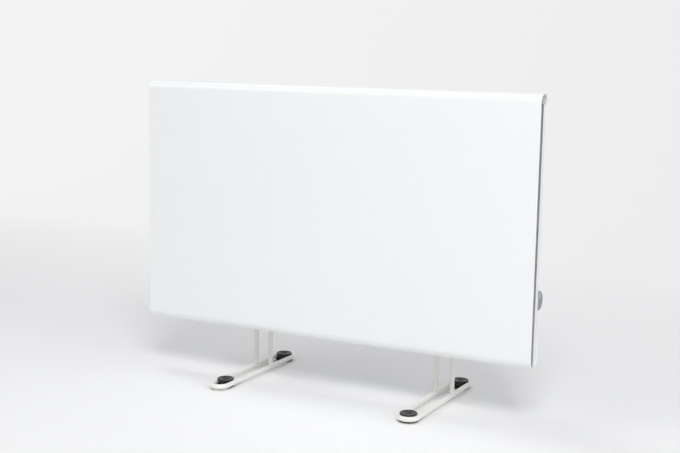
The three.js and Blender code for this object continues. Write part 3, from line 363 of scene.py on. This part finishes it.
# bare or plated metal: a small stretch value draws the grain out along that axis
def bareMetal(name, look):
    material, tree, shader, place = newMaterial(name)
    stretch = tree.nodes.new("ShaderNodeMapping")
    stretch.inputs["Scale"].default_value = look["stretch"]
    tree.links.new(place, stretch.inputs["Vector"])
    streak = addNoise(tree, stretch.outputs["Vector"], look["streakScale"], detail=4.0, roughness=0.6)
    stain = addNoise(tree, place, look["stainScale"], detail=5.0, roughness=0.6)
    tint = mixColours(tree, spread(tree, stain, 0.0, 1.0), look["colour"], look["stain"])
    tree.links.new(tint, shader.inputs["Base Color"])
    shader.inputs["Metallic"].default_value = 1.0
    tree.links.new(spread(tree, streak, look["roughLow"], look["roughHigh"]), shader.inputs["Roughness"])
    relief = addBump(tree, streak, look["streakStrength"], look["streakDepth"])
    tree.links.new(relief, shader.inputs["Normal"])
    return material


zincLook = {
    "colour": (0.66, 0.67, 0.69), "stain": (0.56, 0.565, 0.57), "stretch": (1.0, 1.0, 1.0),
    "streakScale": 900.0, "stainScale": 220.0, "roughLow": 0.24, "roughHigh": 0.42,
    "streakStrength": 0.25, "streakDepth": 0.08 * mm,
}
# the foot screws are coloured near black, so the recess in the middle of each cap stays dark
nearBlackScrewLook = dict(zincLook, colour=(0.05, 0.05, 0.052), stain=(0.09, 0.085, 0.08),
                      roughLow=0.35, roughHigh=0.55)
finLook = dict(zincLook, colour=(0.8, 0.81, 0.82), stain=(0.7, 0.7, 0.7), stretch=(1.0, 1.0, 0.08),
               streakScale=500.0, roughLow=0.3, roughHigh=0.5)
sheathLook = dict(zincLook, colour=(0.32, 0.31, 0.3), stain=(0.4, 0.34, 0.26), stainScale=60.0,
                  roughLow=0.4, roughHigh=0.6)
leadLook = dict(blackMouldLook, cloudScale=200.0, dustAmount=0.1, dustColour=(0.5, 0.48, 0.45),
                roughLow=0.35, roughHigh=0.5)
leadShade = 0.85  # the darker share of a lead's colour


def leadCover(name, colour):
    return moulding(name, dict(leadLook, colour=colour, shade=tuple(v * leadShade for v in colour)))


finishes = {
    "white_paint": powderCoat("panelPowderCoat", panelCoatLook),
    "casing_paint": powderCoat("casingPowderCoat", casingCoatLook),
    "stand_paint": powderCoat("standPowderCoat", standCoatLook),
    "zinc_steel": bareMetal("zincPlate", zincLook),
    "black_steel": bareMetal("nearBlackScrewSteel", nearBlackScrewLook),
    "aluminium": bareMetal("finAluminium", finLook),
    "sheath_steel": bareMetal("heatDulledSheath", sheathLook),
    "white_plastic": moulding("whiteMoulding", whiteMouldLook),
    "black_plastic": moulding("blackMoulding", blackMouldLook),
    "grey_plastic": moulding("greyMoulding", greyMouldLook),
    "black_rubber": moulding("footRubber", rubberLook),
    "ceramic": moulding("unglazedCeramic", ceramicLook),
    "live_lead": leadCover("liveLeadCover", (0.16, 0.055, 0.02)),
    "neutral_lead": leadCover("neutralLeadCover", (0.03, 0.13, 0.42)),
    "earth_lead": leadCover("earthLeadCover", (0.14, 0.33, 0.05)),
}
markFinish = moulding("dialMarks", markLook)
print("finishes made:", len(finishes))


def setFinish(piece, material):
    piece.data.materials.clear()
    piece.data.materials.append(material)


for entry in frame["record"]["subparts"]:
    setFinish(frame["nodes"][entry["node"]], finishes[entry["material_slot"]])
print("node finishes set")


# modelling helpers: sizes are millimetres, pieces stay at the origin

def metres(*values):
    return tuple(v * mm for v in values)


quarterTurn = math.pi / 2
ringFacing = {"x": (0.0, quarterTurn, 0.0), "y": (quarterTurn, 0.0, 0.0), "z": (0.0, 0.0, 0.0)}


# an open ring of points, ready to be extruded, turned and scaled in edit mode
def startRing(sides, radius, place, facing="z"):
    deselectAll()
    bpy.ops.mesh.primitive_circle_add(vertices=sides, radius=radius * mm, location=metres(*place),
                                      rotation=ringFacing[facing])
    bpy.ops.object.transform_apply(location=True, rotation=True, scale=True)
    bpy.ops.object.mode_set(mode="EDIT")
    bpy.ops.mesh.select_mode(type="VERT")
    bpy.ops.mesh.select_all(action="SELECT")
    return bpy.context.object


def pushOut(x, y, z):
    bpy.ops.mesh.extrude_region_move(TRANSFORM_OT_translate={"value": metres(x, y, z)})


# the spin operator counts angles the other way
def turnAbout(centre, axis, angle, steps):
    bpy.ops.mesh.spin(steps=steps, angle=-angle, center=metres(*centre), axis=axis)


def scaleAbout(centre, factors):
    bpy.ops.transform.resize(value=factors, center_override=metres(*centre))


# what was just modelled is merged and turned outwards
def closeUp(piece, merge=0.005):
    bpy.ops.mesh.select_all(action="SELECT")
    bpy.ops.mesh.remove_doubles(threshold=merge * mm)
    bpy.ops.mesh.normals_make_consistent(inside=False)
    bpy.ops.object.mode_set(mode="OBJECT")
    return piece


# the points whose place in millimetres passes the test are selected, ready for edit mode
def selectWhere(piece, test):
    bpy.ops.object.mode_set(mode="EDIT")
    bpy.ops.mesh.select_mode(type="VERT")
    bpy.ops.mesh.select_all(action="DESELECT")
    bpy.ops.object.mode_set(mode="OBJECT")
    for point in piece.data.vertices:
        point.select = test(point.co / mm)
    bpy.ops.object.mode_set(mode="EDIT")


def applyModifier(piece, kind, **settings):
    bpy.context.view_layer.objects.active = piece
    modifier = piece.modifiers.new(kind.lower(), kind)
    for key, value in settings.items():
        setattr(modifier, key, value)
    bpy.ops.object.modifier_apply(modifier=modifier.name)


# the cutter is used up
def cutWith(piece, cutter):
    deselectAll()
    piece.select_set(True)
    applyModifier(piece, "BOOLEAN", operation="DIFFERENCE", object=cutter, solver="EXACT")
    bpy.data.objects.remove(cutter)


def roundEdges(piece, width, segments=2, angle=35.0):
    applyModifier(piece, "BEVEL", width=width * mm, segments=segments, limit_method="ANGLE",
                  angle_limit=math.radians(angle), use_clamp_overlap=True, miter_outer="MITER_ARC")


def smoothOver(piece, angle=35.0):
    deselectAll()
    piece.select_set(True)
    bpy.context.view_layer.objects.active = piece
    bpy.ops.object.shade_smooth_by_angle(angle=math.radians(angle))
    applyModifier(piece, "WEIGHTED_NORMAL", keep_sharp=True, weight=70)  # wide faces keep their flatness


# a finished piece gets its name, finish and body, and stands for its CAD nodes
def putIn(piece, name, body, slotName, *nodes):
    piece.name = name
    piece.data.name = name
    setFinish(piece, finishes[slotName])
    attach(piece, body)
    if nodes:
        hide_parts(*nodes)
    return piece


def copyMesh(piece, shift=(0.0, 0.0, 0.0)):
    deselectAll()
    piece.select_set(True)
    bpy.context.view_layer.objects.active = piece
    bpy.ops.object.duplicate(linked=False)
    twin = bpy.context.object
    bpy.ops.object.mode_set(mode="EDIT")
    bpy.ops.mesh.select_all(action="SELECT")
    bpy.ops.transform.translate(value=metres(*shift))
    bpy.ops.object.mode_set(mode="OBJECT")
    return twin


# rings stacked up along one axis: each is (radius, place along the axis); radius 0 closes a pole
def stackRings(rings, sides, centre, facing="z"):
    axis = "xyz".index(facing)

    def spot(along):
        place = list(centre)
        place[axis] += along
        return place

    tip = 0.001  # a pole's ring is this small until it is merged
    radius, along = rings[0]
    piece = startRing(sides, max(radius, tip), spot(along), facing)
    for nextRadius, nextAlong in rings[1:]:
        step = [0.0, 0.0, 0.0]
        step[axis] = nextAlong - along
        pushOut(*step)
        factor = max(nextRadius, tip) / max(radius, tip)
        factors = [factor] * 3
        factors[axis] = 1.0
        scaleAbout(spot(nextAlong), tuple(factors))
        radius, along = nextRadius, nextAlong
    return closeUp(piece)


# front panel: one sheet, rolled back over the top and under the bottom, with a straight lip at each end

frontPanelLook = {
    "width": 607.0, "front": -52.5, "back": -26.5, "bottom": 81.0, "top": 441.0, "sheet": 1.2,
    "lip": 20.0, "rollSteps": 36, "strip": 1.5, "edge": 0.28,
    "screwX": 240.0, "screwInset": 10.0, "hole": 4.2, "holeSides": 32, "holeDepth": 8.0, "near": 0.1,
}


def makeFrontPanel(look):
    inset = look["sheet"] / 2
    middleY = (look["front"] + look["back"]) / 2
    roll = (look["back"] - look["front"]) / 2
    lowZ, highZ = look["bottom"] + roll, look["top"] - roll
    deselectAll()
    bpy.ops.mesh.primitive_plane_add(size=1.0, rotation=(quarterTurn, 0.0, 0.0))
    bpy.ops.object.transform_apply(location=False, rotation=True, scale=False)
    sheet = bpy.context.object
    flatHeight = highZ - lowZ - 2 * look["strip"]
    bpy.ops.object.mode_set(mode="EDIT")
    bpy.ops.transform.resize(value=(look["width"] * mm, 1.0, flatHeight * mm))
    bpy.ops.transform.translate(value=metres(0.0, look["front"] + inset, (lowZ + highZ) / 2))
    bpy.ops.object.mode_set(mode="OBJECT")
    for side, endZ in ((1, highZ), (-1, lowZ)):
        edgeZ = endZ - side * look["strip"]
        selectWhere(sheet, lambda p: abs(p.z - edgeZ) < look["near"] and p.y < middleY)
        pushOut(0.0, 0.0, side * look["strip"])
        turnAbout((0.0, middleY, endZ), (1.0, 0.0, 0.0), -side * math.pi, look["rollSteps"])
        pushOut(0.0, 0.0, -side * look["strip"])
        pushOut(0.0, 0.0, -side * (look["lip"] - look["strip"]))
        closeUp(sheet)
    applyModifier(sheet, "SOLIDIFY", thickness=look["sheet"] * mm, offset=0.0, use_even_offset=True)
    for side in (-1, 1):
        for z in (lowZ + look["screwInset"], highZ - look["screwInset"]):
            bpy.ops.mesh.primitive_cylinder_add(vertices=look["holeSides"], radius=look["hole"] / 2 * mm,
                                                depth=look["holeDepth"] * mm,
                                                location=metres(side * look["screwX"], look["back"], z),
                                                rotation=ringFacing["y"])
            cutWith(sheet, bpy.context.object)
    roundEdges(sheet, look["edge"])
    smoothOver(sheet)
    return putIn(sheet, "frontPanel", "heater", "white_paint", "front_panel")


makeFrontPanel(frontPanelLook)
print("front panel made")


# floor stands: a closed loop of rod with a butt weld, and a hairpin welded on its bars

standLook = {
    "reach": 12.5, "rod": 3.5, "sides": 32, "height": 6.2, "loopHalf": 92.5, "bendSteps": 32,
    "spacing": 150.0,
    "buttSwell": 0.2, "buttHalf": 1.4, "buttShares": (1.0, 0.7, 0.25, 0.0),
    "uprightY": 29.0, "hairpinTop": 311.0, "sink": 2.2, "smooth": 40.0,
    "bead": 0.75, "beadSides": (40, 12), "beadSpread": 0.3, "beadRise": 0.2,
    "beadLump": 0.12, "beadWaves": (4.0, 5.0),
}


# the rod's swollen end at the butt weld, drawn along the bar with a share of the swell at each step
def drawSwell(look, centre, shares):
    size = 1.0 + look["buttSwell"] * shares[0] / look["rod"]
    for share in shares[1:]:
        nextSize = 1.0 + look["buttSwell"] * share / look["rod"]
        pushOut(0.0, look["buttHalf"] / (len(shares) - 1), 0.0)
        scaleAbout(centre, (nextSize / size, 1.0, nextSize / size))
        size = nextSize


# the rod starts and ends at the butt weld in the middle of one bar
def makeStandLoop(look):
    z, half = look["height"], look["loopHalf"]
    weld = (look["reach"], 0.0, z)
    loop = startRing(look["sides"], look["rod"], weld, "y")
    swell = 1.0 + look["buttSwell"] / look["rod"]
    scaleAbout(weld, (swell, 1.0, swell))
    drawSwell(look, weld, look["buttShares"])
    pushOut(0.0, half - look["buttHalf"], 0.0)
    turnAbout((0.0, half, z), (0.0, 0.0, 1.0), math.pi, look["bendSteps"])
    pushOut(0.0, -2 * half, 0.0)
    turnAbout((0.0, -half, z), (0.0, 0.0, 1.0), math.pi, look["bendSteps"])
    pushOut(0.0, half - look["buttHalf"], 0.0)
    drawSwell(look, weld, look["buttShares"][::-1])
    return closeUp(loop)


# a weld bead round the foot of an upright, sagging over the bar on both sides
def addBead(look, side):
    deselectAll()
    majorSides, minorSides = look["beadSides"]
    bpy.ops.mesh.primitive_torus_add(major_segments=majorSides, minor_segments=minorSides,
                                     major_radius=look["rod"] * mm, minor_radius=look["bead"] * mm,
                                     location=metres(side * look["reach"], look["uprightY"], look["height"]))
    bpy.ops.object.transform_apply(location=True, rotation=True, scale=True)
    bead = bpy.context.object
    waveX, waveY = look["beadWaves"]
    for point in bead.data.vertices:
        x, y = point.co.x / mm, point.co.y / mm
        off = (x - side * look["reach"]) / (look["rod"] + look["bead"] + look["beadSpread"])
        lump = look["beadLump"] * math.sin(y * waveY) * math.sin(x * waveX)
        rise = look["rod"] * math.sqrt(max(1.0 - off * off, 0.0)) + look["beadRise"]
        point.co.z += (rise + lump) * mm
    return bead


# one rod bent into a hairpin, with both ends sunk into the bars under their beads
def makeUprights(look):
    reach, y = look["reach"], look["uprightY"]
    bendZ = look["hairpinTop"] - look["rod"] - reach
    pin = startRing(look["sides"], look["rod"], (reach, y, look["height"] + look["sink"]), "z")
    bpy.ops.mesh.edge_face_add()
    bpy.ops.mesh.select_mode(type="VERT")
    pushOut(0.0, 0.0, bendZ - look["height"] - look["sink"])
    turnAbout((0.0, y, bendZ), (0.0, 1.0, 0.0), -math.pi, look["bendSteps"])
    pushOut(0.0, 0.0, look["height"] + look["sink"] - bendZ)
    closeUp(pin)
    beads = [addBead(look, side) for side in (-1, 1)]
    deselectAll()
    for part in (*beads, pin):
        part.select_set(True)
    bpy.context.view_layer.objects.active = pin
    bpy.ops.object.join()
    return pin


loopModel = makeStandLoop(standLook)
uprightModel = makeUprights(standLook)
for model in (loopModel, uprightModel):
    smoothOver(model, standLook["smooth"])
for side, sideName in ((-1, "left"), (1, "right")):
    shift = (side * standLook["spacing"], 0.0, 0.0)
    for model, pieceName, node in ((loopModel, "standLoop_", "stand_loop_"),
                                   (uprightModel, "standHairpin_", "stand_uprights_")):
        putIn(copyMesh(model, shift), pieceName + sideName, "heater", "stand_paint", node + sideName)
for model in (loopModel, uprightModel):
    bpy.data.objects.remove(model)
print("floor stands made")


# feet: a turned cap over the two bars, a rubber pad below, and the screw that draws them together
# each turned outline is a run of (radius, height)

footLook = {
    "sides": 64, "screwSides": 40, "leftFrontShift": 15.0,
    "capEdge": 0.22, "capEdgeAngle": 40.0, "padEdge": 0.12, "padEdgeAngle": 50.0,
    "screwTop": 11.2, "cross": 4.2, "crossDepth": 1.1, "screwSmooth": 30.0,
    "cap": ((2.3, 2.7), (8.7, 2.7), (8.7, 10.0), (12.0, 10.0), (12.0, 11.7), (11.85, 12.1), (11.3, 12.5),
            (9.7, 12.5), (9.3, 12.3), (9.0, 11.8), (8.2, 11.55), (5.2, 11.45), (4.6, 11.2), (4.6, 9.5),
            (2.3, 9.5), (2.3, 2.7)),
    "pad": ((0.0, 0.0), (9.6, 0.0), (10.0, 0.12), (12.7, 1.6), (13.0, 1.95), (13.0, 2.2), (12.8, 2.4),
            (2.3, 2.4), (2.3, 1.0), (0.0, 1.0)),
    "screw": ((0.0, 1.3), (1.6, 1.3), (2.0, 1.8), (2.0, 9.8), (4.0, 9.8), (4.0, 10.2), (3.75, 10.7),
              (3.0, 11.05), (1.9, 11.2), (0.0, 11.2)),
}


def makeCap(look):
    cap = stackRings(look["cap"], look["sides"], (0.0, 0.0, 0.0))
    roundEdges(cap, look["capEdge"], 2, look["capEdgeAngle"])
    smoothOver(cap)
    return cap


def makePad(look):
    pad = stackRings(look["pad"], look["sides"], (0.0, 0.0, 0.0))
    roundEdges(pad, look["padEdge"], 1, look["padEdgeAngle"])
    smoothOver(pad)
    return pad


crossLook = {"width": 0.24, "taper": (0.45, 0.8, 1.0)}


# the cross in a screw's head, cut by two crossing blocks that narrow towards the bottom
def cutCross(screw, top, size, depth, facing="z"):
    for turn in (0.0, quarterTurn):
        deselectAll()
        bpy.ops.mesh.primitive_cube_add(size=1.0)
        cutter = bpy.context.object
        bpy.ops.object.mode_set(mode="EDIT")
        bpy.ops.transform.resize(value=metres(size, size * crossLook["width"], depth * 2))
        bpy.ops.object.mode_set(mode="OBJECT")
        selectWhere(cutter, lambda p: p.z < 0)
        scaleAbout((0.0, 0.0, 0.0), crossLook["taper"])
        bpy.ops.object.mode_set(mode="OBJECT")
        cutter.rotation_euler = (0.0, 0.0, turn)
        bpy.ops.object.transform_apply(location=False, rotation=True, scale=False)
        if facing != "z":
            cutter.rotation_euler = (-quarterTurn if facing == "y" else quarterTurn, 0.0, 0.0)
        cutter.location = metres(0.0, 0.0, top) if facing == "z" else metres(0.0, top, 0.0)
        bpy.ops.object.transform_apply(location=True, rotation=True, scale=True)
        cutWith(screw, cutter)


def makeFootScrew(look):
    screw = stackRings(look["screw"], look["screwSides"], (0.0, 0.0, 0.0))
    cutCross(screw, look["screwTop"], look["cross"], look["crossDepth"])
    smoothOver(screw, look["screwSmooth"])
    return screw


footModels = {"cap": makeCap(footLook), "pad": makePad(footLook), "screw": makeFootScrew(footLook)}
footSlots = {"cap": "black_plastic", "pad": "black_rubber", "screw": "black_steel"}
for side, sideName in ((-1, "left"), (1, "right")):
    for end, endName in ((-1, "front"), (1, "back")):
        footY = end * standLook["loopHalf"]
        if side < 0 and end < 0:  # the photograph shows this foot a little way back
            footY += footLook["leftFrontShift"]
        for part, model in footModels.items():
            place = f"{endName}_{sideName}"
            piece = copyMesh(model, (side * standLook["spacing"], footY, 0.0))
            putIn(piece, f"foot{part.title()}_{place}", "foot_" + place, footSlots[part],
                  f"foot_{part}_{place}")
for model in footModels.values():
    bpy.data.objects.remove(model)
print("feet made")


# pan-head screws on the back: modelled once a size, each copy turned by its own amount

screwLook = {
    "sides": 40, "smooth": 35.0, "turnStart": 12.0, "turnStep": 37.0, "crossDepth": 0.55,
    "dome": ((1.0, 0.35), (0.96, 0.58), (0.82, 0.8), (0.6, 0.94), (0.3, 1.0)),
    "casing": {"head": 3.8, "rise": 2.4, "shank": 1.8, "reach": 7.0, "cross": 4.0},
    "channel": {"head": 3.8, "rise": 2.4, "shank": 1.8, "reach": 5.0, "cross": 4.0},
    "clamp": {"head": 4.2, "rise": 2.8, "shank": 2.0, "reach": 8.0, "cross": 4.4},
    "cover": {"head": 3.2, "rise": 1.8, "shank": 1.6, "reach": 18.0, "cross": 3.4},
    "earth": {"head": 4.0, "rise": 2.4, "shank": 1.8, "reach": 3.4, "cross": 4.2},
}


# a screw whose seat is the origin and whose head faces +Y, or -Y for the one inside the casing
def makePanScrew(look, size, way=1):
    head, rise, shank = size["head"], size["rise"], size["shank"]
    rings = [(0.0, -size["reach"]), (shank / 2, -size["reach"]), (shank, shank - size["reach"]), (shank, 0.0)]
    rings += [(head, 0.0)] + [(head * radius, rise * along) for radius, along in look["dome"]] + [(0.0, rise)]
    rings = [(radius, along * way) for radius, along in rings]
    screw = stackRings(rings, look["sides"], (0.0, 0.0, 0.0), "y")
    cutCross(screw, rise * way, size["cross"], rise * look["crossDepth"], "y" if way > 0 else "-y")
    smoothOver(screw, look["smooth"])
    return screw


# where a screw node's seat is: the flat side of its head, on its axis
def screwSeat(node, rise, way=1):
    low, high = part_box(node)
    seatY = high.y / mm - rise if way > 0 else low.y / mm + rise
    return ((low.x + high.x) / 2 / mm, seatY, (low.z + high.z) / 2 / mm)


screwNodes = {
    "casing": [f"casing_screw_{i}" for i in (1, 2, 3, 4)],
    "channel": [f"channel_screw_{i}" for i in (1, 2, 3, 4)],
    "clamp": ["clamp_screw_left", "clamp_screw_right"],
    "cover": ["cover_screw_1", "cover_screw_2"],
    "earth": ["earth_screw"],
}
screwCount = 0
for kind, nodes in screwNodes.items():
    way = -1 if kind == "earth" else 1
    model = makePanScrew(screwLook, screwLook[kind], way)
    for node in nodes:
        twin = copyMesh(model)
        turn = screwLook["turnStep"] * screwCount + screwLook["turnStart"]
        twin.rotation_euler = (0.0, math.radians(turn), 0.0)
        twin.location = metres(*screwSeat(node, screwLook[kind]["rise"], way))
        bpy.ops.object.transform_apply(location=True, rotation=True, scale=True)
        camelName = "".join(word.title() if i else word for i, word in enumerate(node.split("_")))
        putIn(twin, camelName, "heater", "zinc_steel", node)
        screwCount += 1
    bpy.data.objects.remove(model)
print("screws made:", screwCount)


# pieces that keep their shape and get softened edges: bent sheet, mouldings and ceramics
# each has its name, its slot, the width of its edges and their segments; the casing is only smoothed

softEdges = {
    "rear_casing": ("rearCasing", "casing_paint", 0.0, 0),
    "mounting_channel_left": ("mountingChannel_left", "casing_paint", 0.3, 2),
    "mounting_channel_right": ("mountingChannel_right", "casing_paint", 0.3, 2),
    "rod_clamp_left": ("rodClamp_left", "zinc_steel", 0.25, 2),
    "rod_clamp_right": ("rodClamp_right", "zinc_steel", 0.25, 2),
    "element_bracket_left": ("elementBracket_left", "zinc_steel", 0.2, 1),
    "element_bracket_right": ("elementBracket_right", "zinc_steel", 0.2, 1),
    "control_box_base": ("controlBoxBase", "white_plastic", 0.35, 2),
    "control_box_cover": ("controlBoxCover", "white_plastic", 0.3, 2),
    "cord_gland": ("cordGland", "black_plastic", 0.3, 2),
    "thermostat_body": ("thermostatBody", "black_plastic", 0.2, 1),
    "thermostat_nut": ("thermostatNut", "zinc_steel", 0.2, 1),
    "switch_housing": ("switchHousing", "black_plastic", 0.25, 2),
    "terminal_block": ("terminalBlock", "ceramic", 0.3, 2),
    "overheat_cutout": ("overheatCutout", "ceramic", 0.25, 2),
    "element_bush_left": ("elementBush_left", "ceramic", 0.25, 2),
    "element_bush_right": ("elementBush_right", "ceramic", 0.25, 2),
    "lead_grommet": ("leadGrommet", "black_rubber", 0.2, 2),
}


softLook = {"merge": 0.002, "flat": 0.5, "sharp": 28.0, "smooth": 30.0}


def softenedCopy(node, width, segments):
    deselectAll()
    source = frame["nodes"][node]
    source.select_set(True)
    bpy.context.view_layer.objects.active = source
    bpy.ops.object.duplicate(linked=False)
    piece = bpy.context.object
    for key in ("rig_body", "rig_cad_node"):  # the copy is a piece of its own
        del piece[key]
    piece.parent = None
    bpy.ops.object.mode_set(mode="EDIT")
    bpy.ops.mesh.select_mode(type="VERT")
    bpy.ops.mesh.select_all(action="SELECT")
    bpy.ops.mesh.remove_doubles(threshold=softLook["merge"] * mm)
    if width:
        bpy.ops.mesh.dissolve_limited(angle_limit=math.radians(softLook["flat"]))
    bpy.ops.object.mode_set(mode="OBJECT")
    if width:
        roundEdges(piece, width, segments, softLook["sharp"])
    smoothOver(piece, softLook["smooth"])
    return piece


for node, (pieceName, slotName, width, segments) in softEdges.items():
    putIn(softenedCopy(node, width, segments), pieceName, "heater", slotName, node)
print("softened pieces made:", len(softEdges))


# thermostat dial: a fluted grip on a round skirt, a pointer line for off, and plain numbers round its face

dialLook = {
    "axisY": 2.0, "axisZ": 164.0, "backX": 284.3, "sides": 144,
    "bore": 3.3, "boreDepth": 8.5, "well": 8.2, "wellDepth": 2.4,
    "skirt": 14.5, "skirtDepth": 2.6, "grip": 13.2, "length": 10.5, "hollow": 0.25,
    "flutes": 24, "fluteDepth": 0.55, "fluteHalf": 0.2, "fluteBand": 0.8, "fluteEnds": (0.4, 0.1),
    "smooth": 32.0, "markMerge": 0.001,
    "numberSize": 2.9, "numberRing": 10.3, "numberRise": 0.12, "numbers": 6, "sweep": 270.0,
    "pointer": (1.0, 1.6, 8.4), "pointerSink": 0.4, "pointerMiddle": 8.0,
    "boxSide": 283.0, "index": (0.7, 1.0, 4.2), "indexSink": 0.3, "indexMiddle": 18.6, "ribEdge": 0.15,
}


def makeDial(look):
    centre = (look["backX"], look["axisY"], look["axisZ"])
    skirt, grip, depth, length = look["skirt"], look["grip"], look["skirtDepth"], look["length"]
    inside = ((0.0, look["boreDepth"]), (look["bore"], look["boreDepth"]), (look["bore"], look["wellDepth"]),
              (look["well"], look["wellDepth"]), (look["well"], 0.0))
    outside = ((skirt - 0.3, 0.0), (skirt, 0.3), (skirt, depth - 0.5), (skirt - 0.5, depth),
               (grip, depth + 0.2), (grip, depth + 0.6),
               (grip - 0.2, length - 0.9), (grip - 0.5, length - 0.3))
    face = ((grip - 1.1, length), (grip - 1.7, length), (grip - 2.1, length - look["hollow"]),
            (0.0, length - look["hollow"]))
    rings = inside + outside + face
    dial = stackRings(rings, look["sides"], centre, "x")
    step = 360.0 / look["flutes"]
    start, end = depth + look["fluteEnds"][0], length - look["fluteEnds"][1]

    def inFlute(p):
        radius = math.hypot(p.y - look["axisY"], p.z - look["axisZ"])
        angle = math.degrees(math.atan2(p.z - look["axisZ"], p.y - look["axisY"])) % step
        onGrip = start < p.x - look["backX"] < end and radius > grip - look["fluteBand"]
        return onGrip and abs(angle - step / 2) < step * look["fluteHalf"]

    selectWhere(dial, inFlute)
    shrink = 1.0 - look["fluteDepth"] / grip
    scaleAbout(centre, (1.0, shrink, shrink))
    bpy.ops.object.mode_set(mode="OBJECT")
    smoothOver(dial, look["smooth"])
    return dial


# the numbers on the dial's face: each comes up to the index as the dial is turned clockwise
def makeDialMarks(look):
    faceX = look["backX"] + look["length"] - look["hollow"]
    marks = []
    for number in range(1, look["numbers"] + 1):
        angle = -math.radians(look["sweep"] * number / look["numbers"])
        deselectAll()
        bpy.ops.object.text_add(location=(0.0, 0.0, 0.0))
        text = bpy.context.object
        text.data.body = str(number)
        text.data.size = look["numberSize"] * mm
        text.data.align_x = "CENTER"
        text.data.align_y = "CENTER"
        text.data.extrude = look["numberRise"] * mm
        bpy.ops.object.convert(target="MESH")
        mark = bpy.context.object
        out = Vector((0.0, math.sin(angle), math.cos(angle)))
        right = Vector((0.0, math.cos(angle), -math.sin(angle)))
        turn = Matrix((right, out, Vector((1.0, 0.0, 0.0)))).transposed()
        ring = look["numberRing"] - look["numberSize"] / 2
        place = metres(faceX, look["axisY"] + out.y * ring, look["axisZ"] + out.z * ring)
        mark.matrix_world = Matrix.Translation(place) @ turn.to_4x4()
        bpy.ops.object.transform_apply(location=True, rotation=True, scale=True)
        marks.append(mark)
    deselectAll()
    for mark in marks:
        mark.select_set(True)
    bpy.context.view_layer.objects.active = marks[0]
    bpy.ops.object.join()
    joined = bpy.context.object
    bpy.ops.object.mode_set(mode="EDIT")
    return closeUp(joined, look["markMerge"])


ribSlope = (1.0, 0.7, 0.94)  # how much narrower and shorter a rib is at its top


# a raised line with sloping sides, on a face that looks along +X; foot is the middle of its underside
def makeRib(size, foot, edge):
    deselectAll()
    bpy.ops.mesh.primitive_cube_add(size=1.0)
    rib = bpy.context.object
    bpy.ops.object.mode_set(mode="EDIT")
    bpy.ops.transform.resize(value=metres(*size))
    bpy.ops.transform.translate(value=metres(foot[0] + size[0] / 2, foot[1], foot[2]))
    bpy.ops.object.mode_set(mode="OBJECT")
    selectWhere(rib, lambda p: p.x > foot[0] + size[0] / 2)
    scaleAbout(foot, ribSlope)
    bpy.ops.object.mode_set(mode="OBJECT")
    roundEdges(rib, edge)
    smoothOver(rib)
    return rib


def makePointer(look):
    faceX = look["backX"] + look["length"] - look["hollow"]
    foot = (faceX - look["pointerSink"], look["axisY"], look["axisZ"] + look["pointerMiddle"])
    return makeRib(look["pointer"], foot, look["ribEdge"])


def makeIndex(look):
    foot = (look["boxSide"] - look["indexSink"], look["axisY"], look["axisZ"] + look["indexMiddle"])
    return makeRib(look["index"], foot, look["ribEdge"])


putIn(makeDial(dialLook), "thermostatDial", "dial", "grey_plastic", "thermostat_dial")
dialMarks = putIn(makeDialMarks(dialLook), "dialNumbers", "dial", "white_plastic")
dialPointer = putIn(makePointer(dialLook), "dialPointer", "dial", "white_plastic")
for mark in (dialMarks, dialPointer):
    setFinish(mark, markFinish)
putIn(makeIndex(dialLook), "dialIndex", "heater", "grey_plastic")
print("dial made")


# rocker: the moulded key with soft edges, left plain

rockerLook = {"edge": 0.5, "segments": 3}

rocker = softenedCopy("switch_rocker", rockerLook["edge"], rockerLook["segments"])
putIn(rocker, "switchRocker", "rocker", "black_plastic", "switch_rocker")
print("rocker made")
